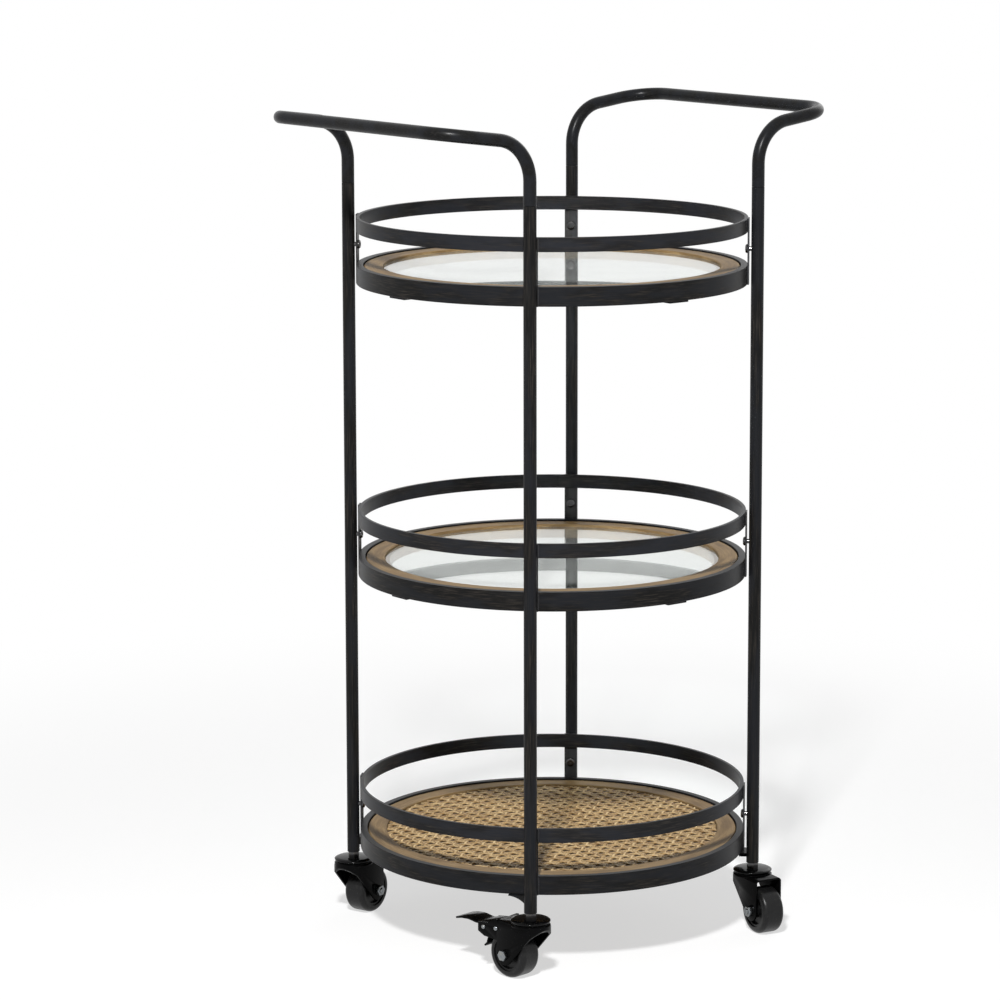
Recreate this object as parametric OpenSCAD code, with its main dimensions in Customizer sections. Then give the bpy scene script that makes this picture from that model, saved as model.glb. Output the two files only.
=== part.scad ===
// Round three-shelf bar cart on four swivel casters.
// The origin is on the floor under the middle of the cart. X runs from handle to handle,
// Y along the handles, Z up.

/* [Overall] */
// Height from the floor to the top of the handles
cart_h = 889; // [760:1:1080]
// Width over the two handles
cart_w = 533.4; // [500:0.1:640]

/* [Frame tubes] */
// Outside diameter of the leg and handle tubes
tube_d = 13.5; // [11:0.5:16]
// Wall thickness of the leg and handle tubes
tube_wall = 1.5; // [1:0.1:2]
// Radius of the wide bend above each leg, at the centre of the tube
bend_r = 44; // [30:1:50]
// Radius of the corner between arm and grip, at the centre of the tube
corner_r = 38; // [20:1:50]
// Climb of the arm between the two bends, in degrees
arm_slope = 7.5; // [4:0.5:18]
// Straight length at each lower end of a handle, below the wide bend
handle_end = 24; // [14:0.5:40]
// Gap of the seam between handle and leg
seam_gap = 0.5; // [0.3:0.1:1]
// Length of the spigot inside the seam
spigot_len = 44; // [30:1:60]

/* [Shelves] */
// Outside diameter of the tray hoops and the guard rails
hoop_d = 416; // [340:1:440]
// Height of a tray hoop
hoop_h = 20; // [16:1:26]
// Thickness of a tray hoop
hoop_t = 7.5; // [5:0.5:10]
// Height of a guard rail
rail_h = 15; // [10:1:20]
// Thickness of a guard rail
rail_t = 4; // [3:0.5:6]
// Height of the rail's top above the hoop's top
rail_rise = 50.5; // [40:0.5:70]
// Drop from the top of the handles to the top of the top hoop
top_drop = 167; // [150:1:200]
// Rise from the bottom of the legs to the top of the bottom hoop
bottom_rise = 36; // [34:1:60]
// Height of the middle shelf as a share of the way from bottom to top shelf
middle_share = 0.488; // [0.4:0.001:0.6]

/* [Straps and screws] */
// Width of a strap
strap_w = 14; // [10:1:18]
// Thickness of a strap
strap_t = 1.5; // [1.5:0.5:3]
// Gap between strap and leg, bridged by the screws
leg_gap = 2; // [1:0.5:6]
// Thread diameter of the strap screws
screw_d = 5; // [4:1:6]
// Head diameter of the strap screws
screw_head_d = 9.6; // [8:0.1:11]
// Head height of the strap screws
screw_head_h = 2.8; // [2:0.1:4]
// Drop of the gussets under the bottom hoop, at the legs
gusset_drop = 8.6; // [6:0.1:12]
// Reach of the gussets along the bottom hoop, from the middle of the legs
gusset_reach = 24; // [18:1:30]

/* [Shelf inserts] */
// Width of the wooden ring's top face
wood_w = 20; // [15:1:26]
// Gap between the wooden ring and its hoop
wood_gap = 1; // [0.5:0.1:2]
// Depth of the wood's top below the hoop's top
wood_drop = 1.5; // [0.5:0.1:3]
// Width of the lip that carries a disc
lip_w = 5; // [4:0.5:10]
// Thickness of a glass disc
glass_t = 5; // [4:1:8]
// Depth of the glass below the wood's top
glass_drop = 3; // [1:0.5:5]
// Gap between a disc and its wooden ring
disc_gap = 0.3; // [0.2:0.1:1]
// Thickness of the board under the cane
board_t = 4; // [3:0.5:6]
// Thickness of the cane webbing
cane_t = 2; // [1.5:0.1:3]
// Depth of the cane below the wood's top
cane_drop = 0.5; // [0:0.1:2]
// Width of a tab under a hoop
tab_w = 25; // [18:1:32]
// Thickness of a tab
tab_t = 3; // [2:0.5:4]
// How far a tab reaches inward past the hoop
tab_reach = 16; // [12:1:20]
// Length of a wood screw above its tab
wood_screw_len = 9; // [6:1:14]

/* [Casters] */
// Diameter of the wheels
wheel_d = 50; // [40:1:62]
// Width of the wheels
wheel_w = 25; // [18:1:28]
// Distance between swivel axis and wheel axle
trail = 23; // [22:1:28]
// Space between a wheel and each fork plate
wheel_side_gap = 1.5; // [1:0.5:3]
// Thickness of the fork plates
fork_t = 2; // [1.5:0.5:3]
// Height of the fork's top above the wheel
fork_rise = 11; // [9:0.5:14]
// Height of the leg ends above the fork's top
stem_rise = 11; // [8:0.5:16]
// Diameter of the swivel races
race_d = 42; // [34:1:46]
// Diameter of the threaded stems
stem_d = 8; // [6:1:8]
// Depth of the stems inside the legs
stem_depth = 24; // [16:1:40]
// Diameter of the axle bolts
axle_d = 6; // [5:1:8]
// Radial clearance of the turning fits
fit_gap = 0.05; // [0.02:0.01:0.1]
// Swivel of the caster under the left front leg, in degrees from +X
swivel_left_front = 96.8; // [-180:0.1:180]
// Swivel of the caster under the left rear leg, in degrees from +X
swivel_left_rear = 16.9; // [-180:0.1:180]
// Swivel of the caster under the right front leg, in degrees from +X
swivel_right_front = -101; // [-180:0.1:180]
// Swivel of the caster under the right rear leg, in degrees from +X
swivel_right_rear = 200; // [-180:0.1:360]

/* [Brakes] */
// Reach of the pedal's tip from the swivel axis
pedal_reach = 97; // [88:1:104]
// Thickness of the pedal's sheet
pedal_t = 2; // [1.5:0.5:3]
// Gap between brake shoe and tyre
shoe_gap = 4.2; // [4:0.1:5]

/* [Hidden] */
$fn = 96;

black_metal = [0.16, 0.16, 0.17];
black_gloss = [0.06, 0.06, 0.06];
zinc = [0.72, 0.73, 0.74];
wood = [0.66, 0.54, 0.42];
cane = [0.80, 0.66, 0.45];
board = [0.52, 0.39, 0.25];
clear = [0.85, 0.90, 0.88, 0.4];

// Frame
tube_r = tube_d / 2;
bore_r = tube_r - tube_wall;
hoop_r = hoop_d / 2;
leg_radial = hoop_r + strap_t + leg_gap + tube_r;
leg_at = leg_radial / sqrt(2);
LEFT_FRONT = [-1, -1];
LEFT_REAR = [-1, 1];
RIGHT_FRONT = [1, -1];
RIGHT_REAR = [1, 1];
LEGS = [LEFT_FRONT, LEFT_REAR, RIGHT_FRONT, RIGHT_REAR];

// Casters
fork_top = wheel_d + fork_rise;
leg_bottom = fork_top + stem_rise;
axle_r = axle_d / 2;
stem_r = stem_d / 2;
race_r = race_d / 2;

// Shelf levels, each at the top of its hoop
bottom_level = leg_bottom + bottom_rise;
top_level = cart_h - top_drop;
middle_level = bottom_level + middle_share * (top_level - bottom_level);
LEVELS = [bottom_level, middle_level, top_level];

// Handles
grip_x = cart_w / 2 - tube_r;
grip_z = cart_h - tube_r;
bend_turn = 90 - arm_slope;
// A narrow cart leaves less room past the legs, so both bends tighten to fit it
handle_room = grip_x - leg_at;
leg_bend = min(bend_r, 0.45 * handle_room);
corner_bend = min(corner_r, 0.38 * handle_room);
arm_x = leg_at + leg_bend * (1 - cos(bend_turn));
arm_len = (grip_x - arm_x) / cos(arm_slope);
arm_z = grip_z - arm_len * sin(arm_slope);
bend_z = arm_z - leg_bend * sin(bend_turn);
seam_z = bend_z - handle_end;
spigot_top = bend_z - 1;
// Bending draws the tube a little thinner, so each bend fits into its straight neighbours
bend_draw = 0.02;
bend_overlap = 0.3;

// Straps
strap_angle = strap_w / hoop_r * 180 / PI;
screw_r = screw_d / 2;
tip_past_wall = 1.2;
bar_ease = 0.5;
gusset_in = hoop_r - 4;
gusset_out = hoop_r + 5;
gusset_arc = 27;

// Inserts
wood_r = hoop_r - hoop_t - wood_gap;
disc_seat_r = wood_r - wood_w;
lip_r = disc_seat_r - lip_w;
disc_r = disc_seat_r - disc_gap;
wood_screw_r = 1.5;
wood_ease = 0.8;
wood_screw_at = hoop_r - hoop_t - tab_reach / 2 - 1;

// Swivel head
race_t = 1.5;
race_rise = 2.6;
race_rim_h = 2.1;
track_h = 1.2;
ball_r = 1.4;
ball_count = 12;
ball_at = race_r - 5.5;
ball_gap = 0.3;
ball_z = fork_top + ball_gap * 2 + ball_r;
dome_z = ball_z + ball_r;
crown_z = dome_z + race_rise;
seat_nut_af = 11;
rivet_r = 7;
rivet_h = 3;
rivet_gap = 0.4;

// Fork
fork_in = wheel_w / 2 + wheel_side_gap;
fork_out = fork_in + fork_t;
fork_bend = 2;
nose_drop = 3;
nose_ease = 1.2;
nose_s = -sqrt(race_r * race_r - fork_out * fork_out);
fork_back = trail + 10.5;
axle_z = wheel_d / 2;
axle_lug_r = 11;
lug_tuck = 0.02;

// Wheel
core_r = wheel_d * 0.36;
core_face = wheel_w / 2 - 1.5;
hub_r = 8;
hub_w = 2 * (fork_in - 0.4);

// Brake
ear_back = trail + 38;
ear_low = wheel_d - 6;
ear_top = fork_top - 7.5;
pivot_s = trail + 30;
pivot_z = wheel_d - 0.5;
rest_rivet_s = trail + 12;
rest_rivet_z = wheel_d + 1.3;
rivet_shank_r = 2;
rivet_head_r = 2.6;
rivet_head_t = 1.2;
cheek_gap = 1;
cheek_out = fork_in - cheek_gap;
cheek_r = 3.8;
shoe_hub_r = 3.2;

function at(leg) = [leg[0] * leg_at, leg[1] * leg_at, 0];

// ---- Tubes ----

// Section of the tube, drawn thinner on both sides by a given amount
module tube_section(draw) {
    difference() {
        circle(tube_r - draw);
        circle(bore_r + draw);
    }
}

// Straight tube along +Z
module tube(len) {
    linear_extrude(len)
        tube_section(0);
}

// Bent tube that starts upright at the origin and leans towards +X through an angle
module tube_bend(radius, turn) {
    overlap = bend_overlap / radius * 180 / PI;
    translate([radius, 0, 0])
        rotate([90, 0, 180])
            rotate([0, 0, -overlap])
                rotate_extrude(angle = turn + 2 * overlap)
                    translate([radius, 0])
                        tube_section(bend_draw);
}

// Handle end over one rear leg, from the seam to the end of the corner
module handle_arm() {
    translate([leg_at, leg_at, seam_z])
        tube(handle_end);
    translate([leg_at, leg_at, bend_z])
        tube_bend(leg_bend, bend_turn);
    translate([arm_x, leg_at, arm_z])
        rotate([0, bend_turn, 0]) {
            tube(arm_len - corner_bend);
            translate([0, 0, arm_len - corner_bend])
                rotate([0, 0, -90])
                    tube_bend(corner_bend, 90);
        }
}

// Handle over the two legs of one side, bent from one tube
module handle(side) {
    grip_len = 2 * (leg_at - corner_bend);
    color(black_metal)
        mirror([side < 0 ? 1 : 0, 0, 0]) {
            for (flip = [0, 1])
                mirror([0, flip, 0])
                    handle_arm();
            translate([grip_x, grip_len / 2, grip_z])
                rotate([90, 0, 0])
                    tube(grip_len);
        }
}

// Steel spigots that join each handle to its two legs
module handle_spigots() {
    color(zinc)
        for (leg = LEGS)
            translate(at(leg) + [0, 0, spigot_top - spigot_len])
                difference() {
                    cylinder(r = bore_r, h = spigot_len);
                    translate([0, 0, -1])
                        cylinder(r = bore_r - tube_wall, h = spigot_len + 2);
                }
}

// Turns children so that local +X points from the leg to the middle of the cart
module face_centre(leg) {
    translate(at(leg))
        rotate([0, 0, atan2(-leg[1], -leg[0])])
            children();
}

function screw_z(level) = level + (rail_rise - rail_h) / 2;

// One leg, with a threaded hole for each strap screw and a crimp that holds its socket
module leg_tube(leg) {
    crimp_r = 1.6;
    crimp_rise = 20;
    color(black_metal)
        difference() {
            translate(at(leg) + [0, 0, leg_bottom])
                tube(seam_z - seam_gap - leg_bottom);
            face_centre(leg)
                for (level = LEVELS)
                    translate([0, 0, screw_z(level)])
                        rotate([0, 90, 0])
                            cylinder(r = screw_r, h = tube_r + 1);
            translate(at(leg) + [0, -tube_r - crimp_r / 2, leg_bottom + crimp_rise])
                sphere(r = crimp_r, $fn = 32);
        }
}

// ---- Shelf frames ----

// Flat bar rolled into a ring with eased edges, its top at a level
module ring(outer, thick, high, top) {
    inner = outer - thick;
    base = top - high;
    rotate_extrude($fn = 180)
        polygon([
            [inner, base + bar_ease],
            [inner + bar_ease, base],
            [outer - bar_ease, base],
            [outer, base + bar_ease],
            [outer, top - bar_ease],
            [outer - bar_ease, top],
            [inner + bar_ease, top],
            [inner, top - bar_ease]
        ]);
}

module guard_rail(level) {
    color(black_metal)
        ring(hoop_r, rail_t, rail_h, level + rail_rise);
}

module tray_hoop(level) {
    color(black_metal)
        ring(hoop_r, hoop_t, hoop_h, level);
}

// Four straps, curved to lie against the hoop and the rail
module straps(level) {
    color(black_metal)
        for (leg = LEGS)
            rotate([0, 0, atan2(leg[1], leg[0])])
                difference() {
                    rotate([0, 0, -strap_angle / 2])
                        rotate_extrude(angle = strap_angle, $fn = 180)
                            translate([hoop_r, level - hoop_h])
                                square([strap_t, hoop_h + rail_rise]);
                    translate([hoop_r - 1, 0, screw_z(level)])
                        rotate([0, 90, 0])
                            cylinder(r = screw_r, h = strap_t + 2);
                }
}

// Round-head screw along +X, with its head's seat at the origin and a hex socket in the head
module strap_screw() {
    socket_r = screw_d * 0.34;
    rotate([0, 90, 0]) {
        cylinder(r = screw_r, h = strap_t + leg_gap + tube_wall + tip_past_wall);
        difference() {
            rotate_extrude($fn = 48)
                difference() {
                    translate([0, -screw_head_h])
                        square([screw_head_d / 2, screw_head_h]);
                    translate([screw_head_d / 2 - 1, -screw_head_h])
                        difference() {
                            translate([0, -0.1])
                                square([1.1, 1.1]);
                            translate([0, 1])
                                circle(1, $fn = 32);
                        }
                }
            translate([0, 0, -screw_head_h - 1])
                cylinder(r = socket_r, h = screw_head_h * 0.6 + 1, $fn = 6);
        }
    }
}

module strap_screws() {
    color(black_metal)
        for (leg = LEGS)
            for (level = LEVELS)
                rotate([0, 0, atan2(leg[1], leg[0])])
                    translate([hoop_r, 0, screw_z(level)])
                        strap_screw();
}

// Middle of the circle that hollows a gusset's lower edge
function gusset_centre() =
    let (tip = [gusset_reach, 0])
    let (foot = [tube_r, -gusset_drop])
    let (chord = foot - tip)
    let (rise = sqrt(gusset_arc * gusset_arc - norm(chord) * norm(chord) / 4))
    (tip + foot) / 2 + rise * [-chord[1], chord[0]] / norm(chord) * (chord[0] < 0 ? 1 : -1);

// Hollowed gussets that tie the bottom hoop to the legs, each on the clockwise side
module hoop_gussets() {
    color(black_metal)
        for (leg = LEGS)
            difference() {
                rotate([0, 0, atan2(leg[1], leg[0])])
                    translate([gusset_in, 0, bottom_level - hoop_h])
                        rotate([90, 0, 90])
                            linear_extrude(gusset_out - gusset_in)
                                mirror([1, 0])
                                    difference() {
                                        polygon([
                                            [0, 0],
                                            [gusset_reach, 0],
                                            [tube_r, -gusset_drop],
                                            [0, -gusset_drop]
                                        ]);
                                        translate(gusset_centre())
                                            circle(gusset_arc, $fn = 180);
                                    }
                translate(at(leg))
                    cylinder(r = tube_r, h = bottom_level);
            }
}

// Four tabs under a hoop, midway between the legs
module tray_tabs(level) {
    color(black_metal)
        for (turn = [0:90:270])
            rotate([0, 0, turn])
                translate([0, 0, level - hoop_h - tab_t])
                    difference() {
                        translate([hoop_r - hoop_t - tab_reach, -tab_w / 2, 0])
                            cube([tab_reach + hoop_t - 1, tab_w, tab_t]);
                        translate([wood_screw_at, 0, -1])
                            cylinder(r = wood_screw_r, h = tab_t + 2);
                    }
}

// Pan-head wood screws, driven up through the tabs
module wood_screws() {
    color(zinc)
        for (turn = [0:90:270])
            for (level = LEVELS)
                rotate([0, 0, turn])
                    translate([wood_screw_at, 0, level - hoop_h - tab_t]) {
                        cylinder(r = wood_screw_r, h = tab_t + wood_screw_len);
                        translate([0, 0, -1.4])
                            cylinder(r1 = 2.2, r2 = 3, h = 1.4, $fn = 48);
                    }
}

// ---- Shelf inserts ----

function wood_top(level) = level - wood_drop;

// Wooden ring with a seat for a disc, and pilot holes for its four screws
module wood_ring(level, seat_depth) {
    top = wood_top(level);
    seat = top - seat_depth;
    base = level - hoop_h;
    color(wood)
        difference() {
            rotate_extrude($fn = 180)
                polygon([
                    [lip_r, base],
                    [wood_r, base],
                    [wood_r, top - wood_ease],
                    [wood_r - wood_ease, top],
                    [disc_seat_r + wood_ease, top],
                    [disc_seat_r, top - wood_ease],
                    [disc_seat_r, seat],
                    [lip_r, seat]
                ]);
            for (turn = [0:90:270])
                rotate([0, 0, turn])
                    translate([wood_screw_at, 0, base - 1])
                        cylinder(r = wood_screw_r, h = wood_screw_len + 1);
        }
}

// Disc with ground edges, its top at a level
module disc(top, thick, ease) {
    rotate_extrude($fn = 180)
        polygon([
            [0, top - thick],
            [disc_r - ease, top - thick],
            [disc_r, top - thick + ease],
            [disc_r, top - ease],
            [disc_r - ease, top],
            [0, top]
        ]);
}

module glass_disc(level) {
    color(clear)
        disc(wood_top(level) - glass_drop, glass_t, 0.6);
}

module backing_board() {
    color(board)
        disc(wood_top(bottom_level) - cane_drop - cane_t, board_t, 0.3);
}

module cane_panel() {
    color(cane)
        disc(wood_top(bottom_level) - cane_drop, cane_t, 0.3);
}

// ---- Casters, each in its own frame: origin on the floor under the swivel axis, wheel trailing to +X ----

module at_caster(leg, swivel) {
    translate(at(leg))
        rotate([0, 0, swivel])
            children();
}

// Threaded socket in a leg end, with a hex under the tube that seats on the race
module leg_sockets() {
    color(zinc)
        for (leg = LEGS)
            translate(at(leg))
                difference() {
                    union() {
                        translate([0, 0, crown_z])
                            cylinder(d = seat_nut_af / cos(30), h = leg_bottom - crown_z, $fn = 6);
                        translate([0, 0, leg_bottom])
                            cylinder(r = bore_r, h = stem_depth);
                    }
                    translate([0, 0, dome_z])
                        cylinder(r = stem_r, h = leg_bottom + stem_depth);
                }
}

// Stem with the riveted head that holds the fork
module caster_stems() {
    color(zinc)
        for (leg = LEGS)
            translate(at(leg)) {
                translate([0, 0, fork_top - fork_t - rivet_gap - rivet_h])
                    cylinder(r = rivet_r, h = rivet_h);
                translate([0, 0, fork_top - fork_t - rivet_gap])
                    cylinder(r = stem_r, h = leg_bottom + stem_depth - fork_top + fork_t);
            }
}

// Saucer over the balls, with a raised shoulder and a turned rim
module upper_races() {
    seat_r = seat_nut_af / 2 + 2;
    rim_z = dome_z - race_rim_h;
    color(black_gloss)
        for (leg = LEGS)
            translate(at(leg))
                rotate_extrude($fn = 72)
                    polygon([
                        [stem_r, crown_z - race_t],
                        [seat_r, crown_z - race_t],
                        [ball_at - 3, dome_z + 0.6],
                        [ball_at - 2, dome_z],
                        [ball_at + 2, dome_z],
                        [race_r - race_t - 0.8, rim_z],
                        [race_r - 1.2, rim_z],
                        [race_r - 0.3, rim_z + 0.9],
                        [race_r, rim_z + 1.8],
                        [race_r - 0.3, rim_z + 2.6],
                        [race_r - 1.4, dome_z + 1],
                        [race_r - 3, dome_z + 1.7],
                        [seat_r + 1, crown_z],
                        [stem_r, crown_z]
                    ]);
}

module race_balls() {
    color(zinc)
        for (leg = LEGS)
            for (i = [0:ball_count - 1])
                translate(at(leg) + [0, 0, ball_z])
                    rotate([0, 0, i * 360 / ball_count])
                        translate([ball_at, 0, 0])
                            sphere(r = ball_r, $fn = 24);
}

// Points where the two lines from a point touch a circle around the axle
function tangent(p, turn) =
    let (c = [trail, axle_z])
    let (d = p - c)
    let (r = axle_lug_r - lug_tuck)
    let (angle = atan2(d[1], d[0]) + turn * acos(r / norm(d)))
    c + r * [cos(angle), sin(angle)];

// Outline of the fork's plates and nose, seen along the axle
module plate_outline() {
    nose = [-race_r - 1, fork_top - nose_drop];
    back = [fork_back, wheel_d - 11];
    polygon([
        [-race_r - 1, fork_top],
        nose,
        tangent(nose, 1),
        [trail, axle_z],
        tangent(back, -1),
        back,
        [fork_back, fork_top]
    ]);
    translate([trail, axle_z])
        circle(axle_lug_r, $fn = 48);
}

// Outline of an ear that carries the brake, behind the fork's roof
module ear_outline() {
    polygon([
        [fork_back - 1, fork_top],
        [fork_back + 2, fork_top],
        [ear_back - 14, ear_top + 2],
        [ear_back, ear_top],
        [ear_back, ear_low],
        [ear_back - 9, ear_low - 4],
        [fork_back - 1, ear_low - 5]
    ]);
}

// Solid arch with rounded shoulders, standing on zero
module arch(half, top, shoulder) {
    translate([-half, 0])
        square([2 * half, top - shoulder]);
    translate([shoulder - half, 0])
        square([2 * (half - shoulder), top]);
    for (side = [-1, 1])
        translate([side * (half - shoulder), top - shoulder])
            circle(shoulder, $fn = 48);
}

// Wall drawn round the front of the race, down to the foot of the plates
module fork_nose() {
    deep = race_r;
    translate([0, 0, fork_top - deep])
        difference() {
            cylinder(r = race_r, h = deep - nose_ease - 0.1, $fn = 72);
            translate([0, 0, -1])
                cylinder(r = race_r - fork_t, h = deep + 1, $fn = 72);
            translate([nose_s - 0.1, -race_r - 1, -1])
                cube([2 * race_r + 2, 2 * race_r + 2, deep + 2]);
        }
}

// Sheet folded over the wheel and round the race, cut to the outline of the plates
module fork_shell() {
    intersection() {
        union() {
            translate([nose_s - 0.5, 0, 0])
                rotate([90, 0, 90])
                    linear_extrude(fork_back - nose_s + 1.5)
                        difference() {
                            arch(fork_out, fork_top, fork_bend + fork_t);
                            translate([0, -1])
                                arch(fork_in, fork_top - fork_t + 1, fork_bend);
                        }
            fork_nose();
        }
        rotate([90, 0, 0])
            linear_extrude(2 * race_r + 2, center = true)
                plate_outline();
    }
}

// Lower half of the swivel race, a grooved ring on the fork's round roof
module lower_race() {
    groove_z = fork_top + ball_gap;
    translate([0, 0, fork_top - fork_t]) {
        cylinder(r = race_r, h = fork_t - nose_ease, $fn = 72);
        translate([0, 0, fork_t - nose_ease])
            cylinder(r1 = race_r, r2 = race_r - nose_ease, h = nose_ease, $fn = 72);
    }
    rotate_extrude($fn = 72)
        polygon([
            [ball_at - 4, fork_top - 0.1],
            [race_r - nose_ease - 0.6, fork_top - 0.1],
            [race_r - nose_ease - 0.6, fork_top + 0.6],
            [ball_at + 3, fork_top + track_h],
            [ball_at + 1, groove_z],
            [ball_at - 1, groove_z],
            [ball_at - 3, fork_top + track_h],
            [ball_at - 4, fork_top + 0.8]
        ]);
}

// Bore through both plates
module cross_bore(s, z, r) {
    translate([s, fork_out + 1, z])
        rotate([90, 0, 0])
            cylinder(r = r, h = 2 * fork_out + 2);
}

module fork(braked) {
    color(black_gloss)
        difference() {
            union() {
                fork_shell();
                lower_race();
                if (braked)
                    for (side = [-1, 1])
                        translate([0, side * (fork_in + fork_t / 2), 0])
                            rotate([90, 0, 0])
                                linear_extrude(fork_t, center = true)
                                    ear_outline();
            }
            translate([0, 0, fork_top - fork_t - 1])
                cylinder(r = stem_r + fit_gap, h = fork_t + 2);
            cross_bore(trail, axle_z, axle_r);
            if (braked)
                for (hole = [[rest_rivet_s, rest_rivet_z], [pivot_s, pivot_z]])
                    cross_bore(hole[0], hole[1], rivet_shank_r);
        }
}

// Hex bolt through fork and wheel, head on the +Y side
module axle_bolt() {
    head_af = 10;
    head_h = 4;
    color(zinc)
        translate([trail, fork_out, axle_z])
            rotate([90, 0, 0]) {
                translate([0, 0, -head_h])
                    cylinder(d = head_af / cos(30), h = head_h, $fn = 6);
                cylinder(r = axle_r, h = 2 * fork_out + 6.5);
            }
}

module axle_nut() {
    nut_af = 10;
    nut_h = 5;
    color(zinc)
        translate([trail, -fork_out, axle_z])
            rotate([90, 0, 0])
                difference() {
                    cylinder(d = nut_af / cos(30), h = nut_h, $fn = 6);
                    translate([0, 0, -1])
                        cylinder(r = axle_r, h = nut_h + 2);
                }
}

module tyre() {
    round_r = 5;
    half_w = wheel_w / 2;
    outer = wheel_d / 2;
    color(black_gloss)
        translate([trail, 0, axle_z])
            rotate([90, 0, 0])
                rotate_extrude($fn = 96) {
                    translate([core_r, -half_w])
                        square([outer - core_r - round_r, wheel_w]);
                    translate([outer - round_r - 0.01, round_r - half_w])
                        square([round_r + 0.01, wheel_w - 2 * round_r]);
                    for (side = [-1, 1])
                        translate([outer - round_r, side * (half_w - round_r)])
                            intersection() {
                                circle(round_r, $fn = 48);
                                translate([0, side > 0 ? 0 : -round_r])
                                    square(round_r);
                            }
                }
}

// Wheel core with a dished web and a hub that fills the fork
module wheel_core() {
    web_face = core_face - 3;
    color(black_gloss)
        translate([trail, 0, axle_z])
            rotate([90, 0, 0])
                rotate_extrude($fn = 96)
                    polygon([
                        [axle_r + fit_gap, -hub_w / 2],
                        [hub_r, -hub_w / 2],
                        [hub_r, -web_face],
                        [core_r - 2.5, -web_face],
                        [core_r - 2.5, -core_face],
                        [core_r, -core_face],
                        [core_r, core_face],
                        [core_r - 2.5, core_face],
                        [core_r - 2.5, web_face],
                        [hub_r, web_face],
                        [hub_r, hub_w / 2],
                        [axle_r + fit_gap, hub_w / 2]
                    ]);
}

// ---- Brake ----

// Unit vector from p to q
function heading(p, q) = (q - p) / norm(q - p);

// Edge point of a sheet bent along a row of points, mitred at every bend
function edge_point(points, i, shift) =
    let (last = len(points) - 1)
    let (before = heading(points[max(i - 1, 0)], points[max(i, 1)]))
    let (after = heading(points[min(i, last - 1)], points[min(i + 1, last)]))
    let (mitre = (before + after) / (1 + before * after))
    points[i] + shift * [-mitre[1], mitre[0]];

// Sheet seen edge-on, bent along a row of points
module bent_sheet(points, thick) {
    last = len(points) - 1;
    polygon(concat(
        [for (i = [0:last]) edge_point(points, i, -thick / 2)],
        [for (i = [0:last]) edge_point(points, last - i, thick / 2)]
    ));
}

// Pedal: a sheet that passes between the ears and ends in an arched pad, on two cheeks
module brake_pedal() {
    over = pivot_z + 4.3;
    join = cheek_r - 0.2;
    spine = [
        [pivot_s - 12, over],
        [pivot_s - 3, over + 0.5],
        [pivot_s + 4, over - 0.3],
        [pivot_s + 11, over - 2.5],
        [pivot_s + 15, over - 2.5],
        [pivot_s + 23, over - 1.3],
        [pivot_s + 27, over - 1.1],
        [pivot_s + 36, over - 1.9],
        [pedal_reach, over - 3.7]
    ];
    color(black_gloss)
        rotate([90, 0, 0])
            difference() {
                union() {
                    linear_extrude(2 * cheek_out, center = true)
                        bent_sheet(spine, pedal_t);
                    for (side = [-1, 1])
                        translate([0, 0, side * (cheek_out - pedal_t / 2)])
                            linear_extrude(pedal_t, center = true) {
                                translate([pivot_s, pivot_z])
                                    circle(cheek_r, $fn = 48);
                                polygon([
                                    [pivot_s - join, pivot_z],
                                    [pivot_s + join, pivot_z],
                                    [pivot_s + 9, over - 1.8],
                                    [pivot_s + 4, over - 0.3],
                                    [pivot_s - 3, over + 0.5],
                                    [pivot_s - 9, over + 0.1]
                                ]);
                            }
                }
                translate([pivot_s, pivot_z, -cheek_out - 1])
                    cylinder(r = rivet_shank_r + fit_gap, h = 2 * cheek_out + 2);
            }
}

// Shoe bent to follow the tyre, hung on the pivot between the pedal's cheeks
module brake_shoe() {
    middle = wheel_d / 2 + shoe_gap + pedal_t / 2;
    shoe_w = 2 * (cheek_out - pedal_t);
    low = 12;
    high = 40;
    bends = 6;
    flare = [4, -3.5];
    function on_shoe(angle) = [trail + middle * cos(angle), axle_z + middle * sin(angle)];
    spine = concat(
        [[pivot_s - 1.5, pivot_z]],
        [for (i = [0:bends]) on_shoe(high - i * (high - low) / bends)],
        [on_shoe(low) + flare]
    );
    color(black_gloss)
        rotate([90, 0, 0])
            difference() {
                linear_extrude(shoe_w, center = true) {
                    bent_sheet(spine, pedal_t);
                    translate([pivot_s, pivot_z])
                        circle(shoe_hub_r, $fn = 48);
                }
                translate([pivot_s, pivot_z, -shoe_w / 2 - 1])
                    cylinder(r = rivet_shank_r + fit_gap, h = shoe_w + 2);
            }
}

// The pivot rivet and the rivet that stiffens the ears
module brake_rivets() {
    color(zinc)
        for (hole = [[rest_rivet_s, rest_rivet_z], [pivot_s, pivot_z]])
            translate([hole[0], 0, hole[1]])
                rotate([90, 0, 0])
                    translate([0, 0, -fork_out]) {
                        cylinder(r = rivet_shank_r, h = 2 * fork_out);
                        translate([0, 0, -rivet_head_t])
                            cylinder(r1 = rivet_head_r - 0.6, r2 = rivet_head_r, h = rivet_head_t);
                        translate([0, 0, 2 * fork_out])
                            cylinder(r1 = rivet_head_r, r2 = rivet_head_r - 0.6, h = rivet_head_t);
                    }
}

// ---- Nodes ----

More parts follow.
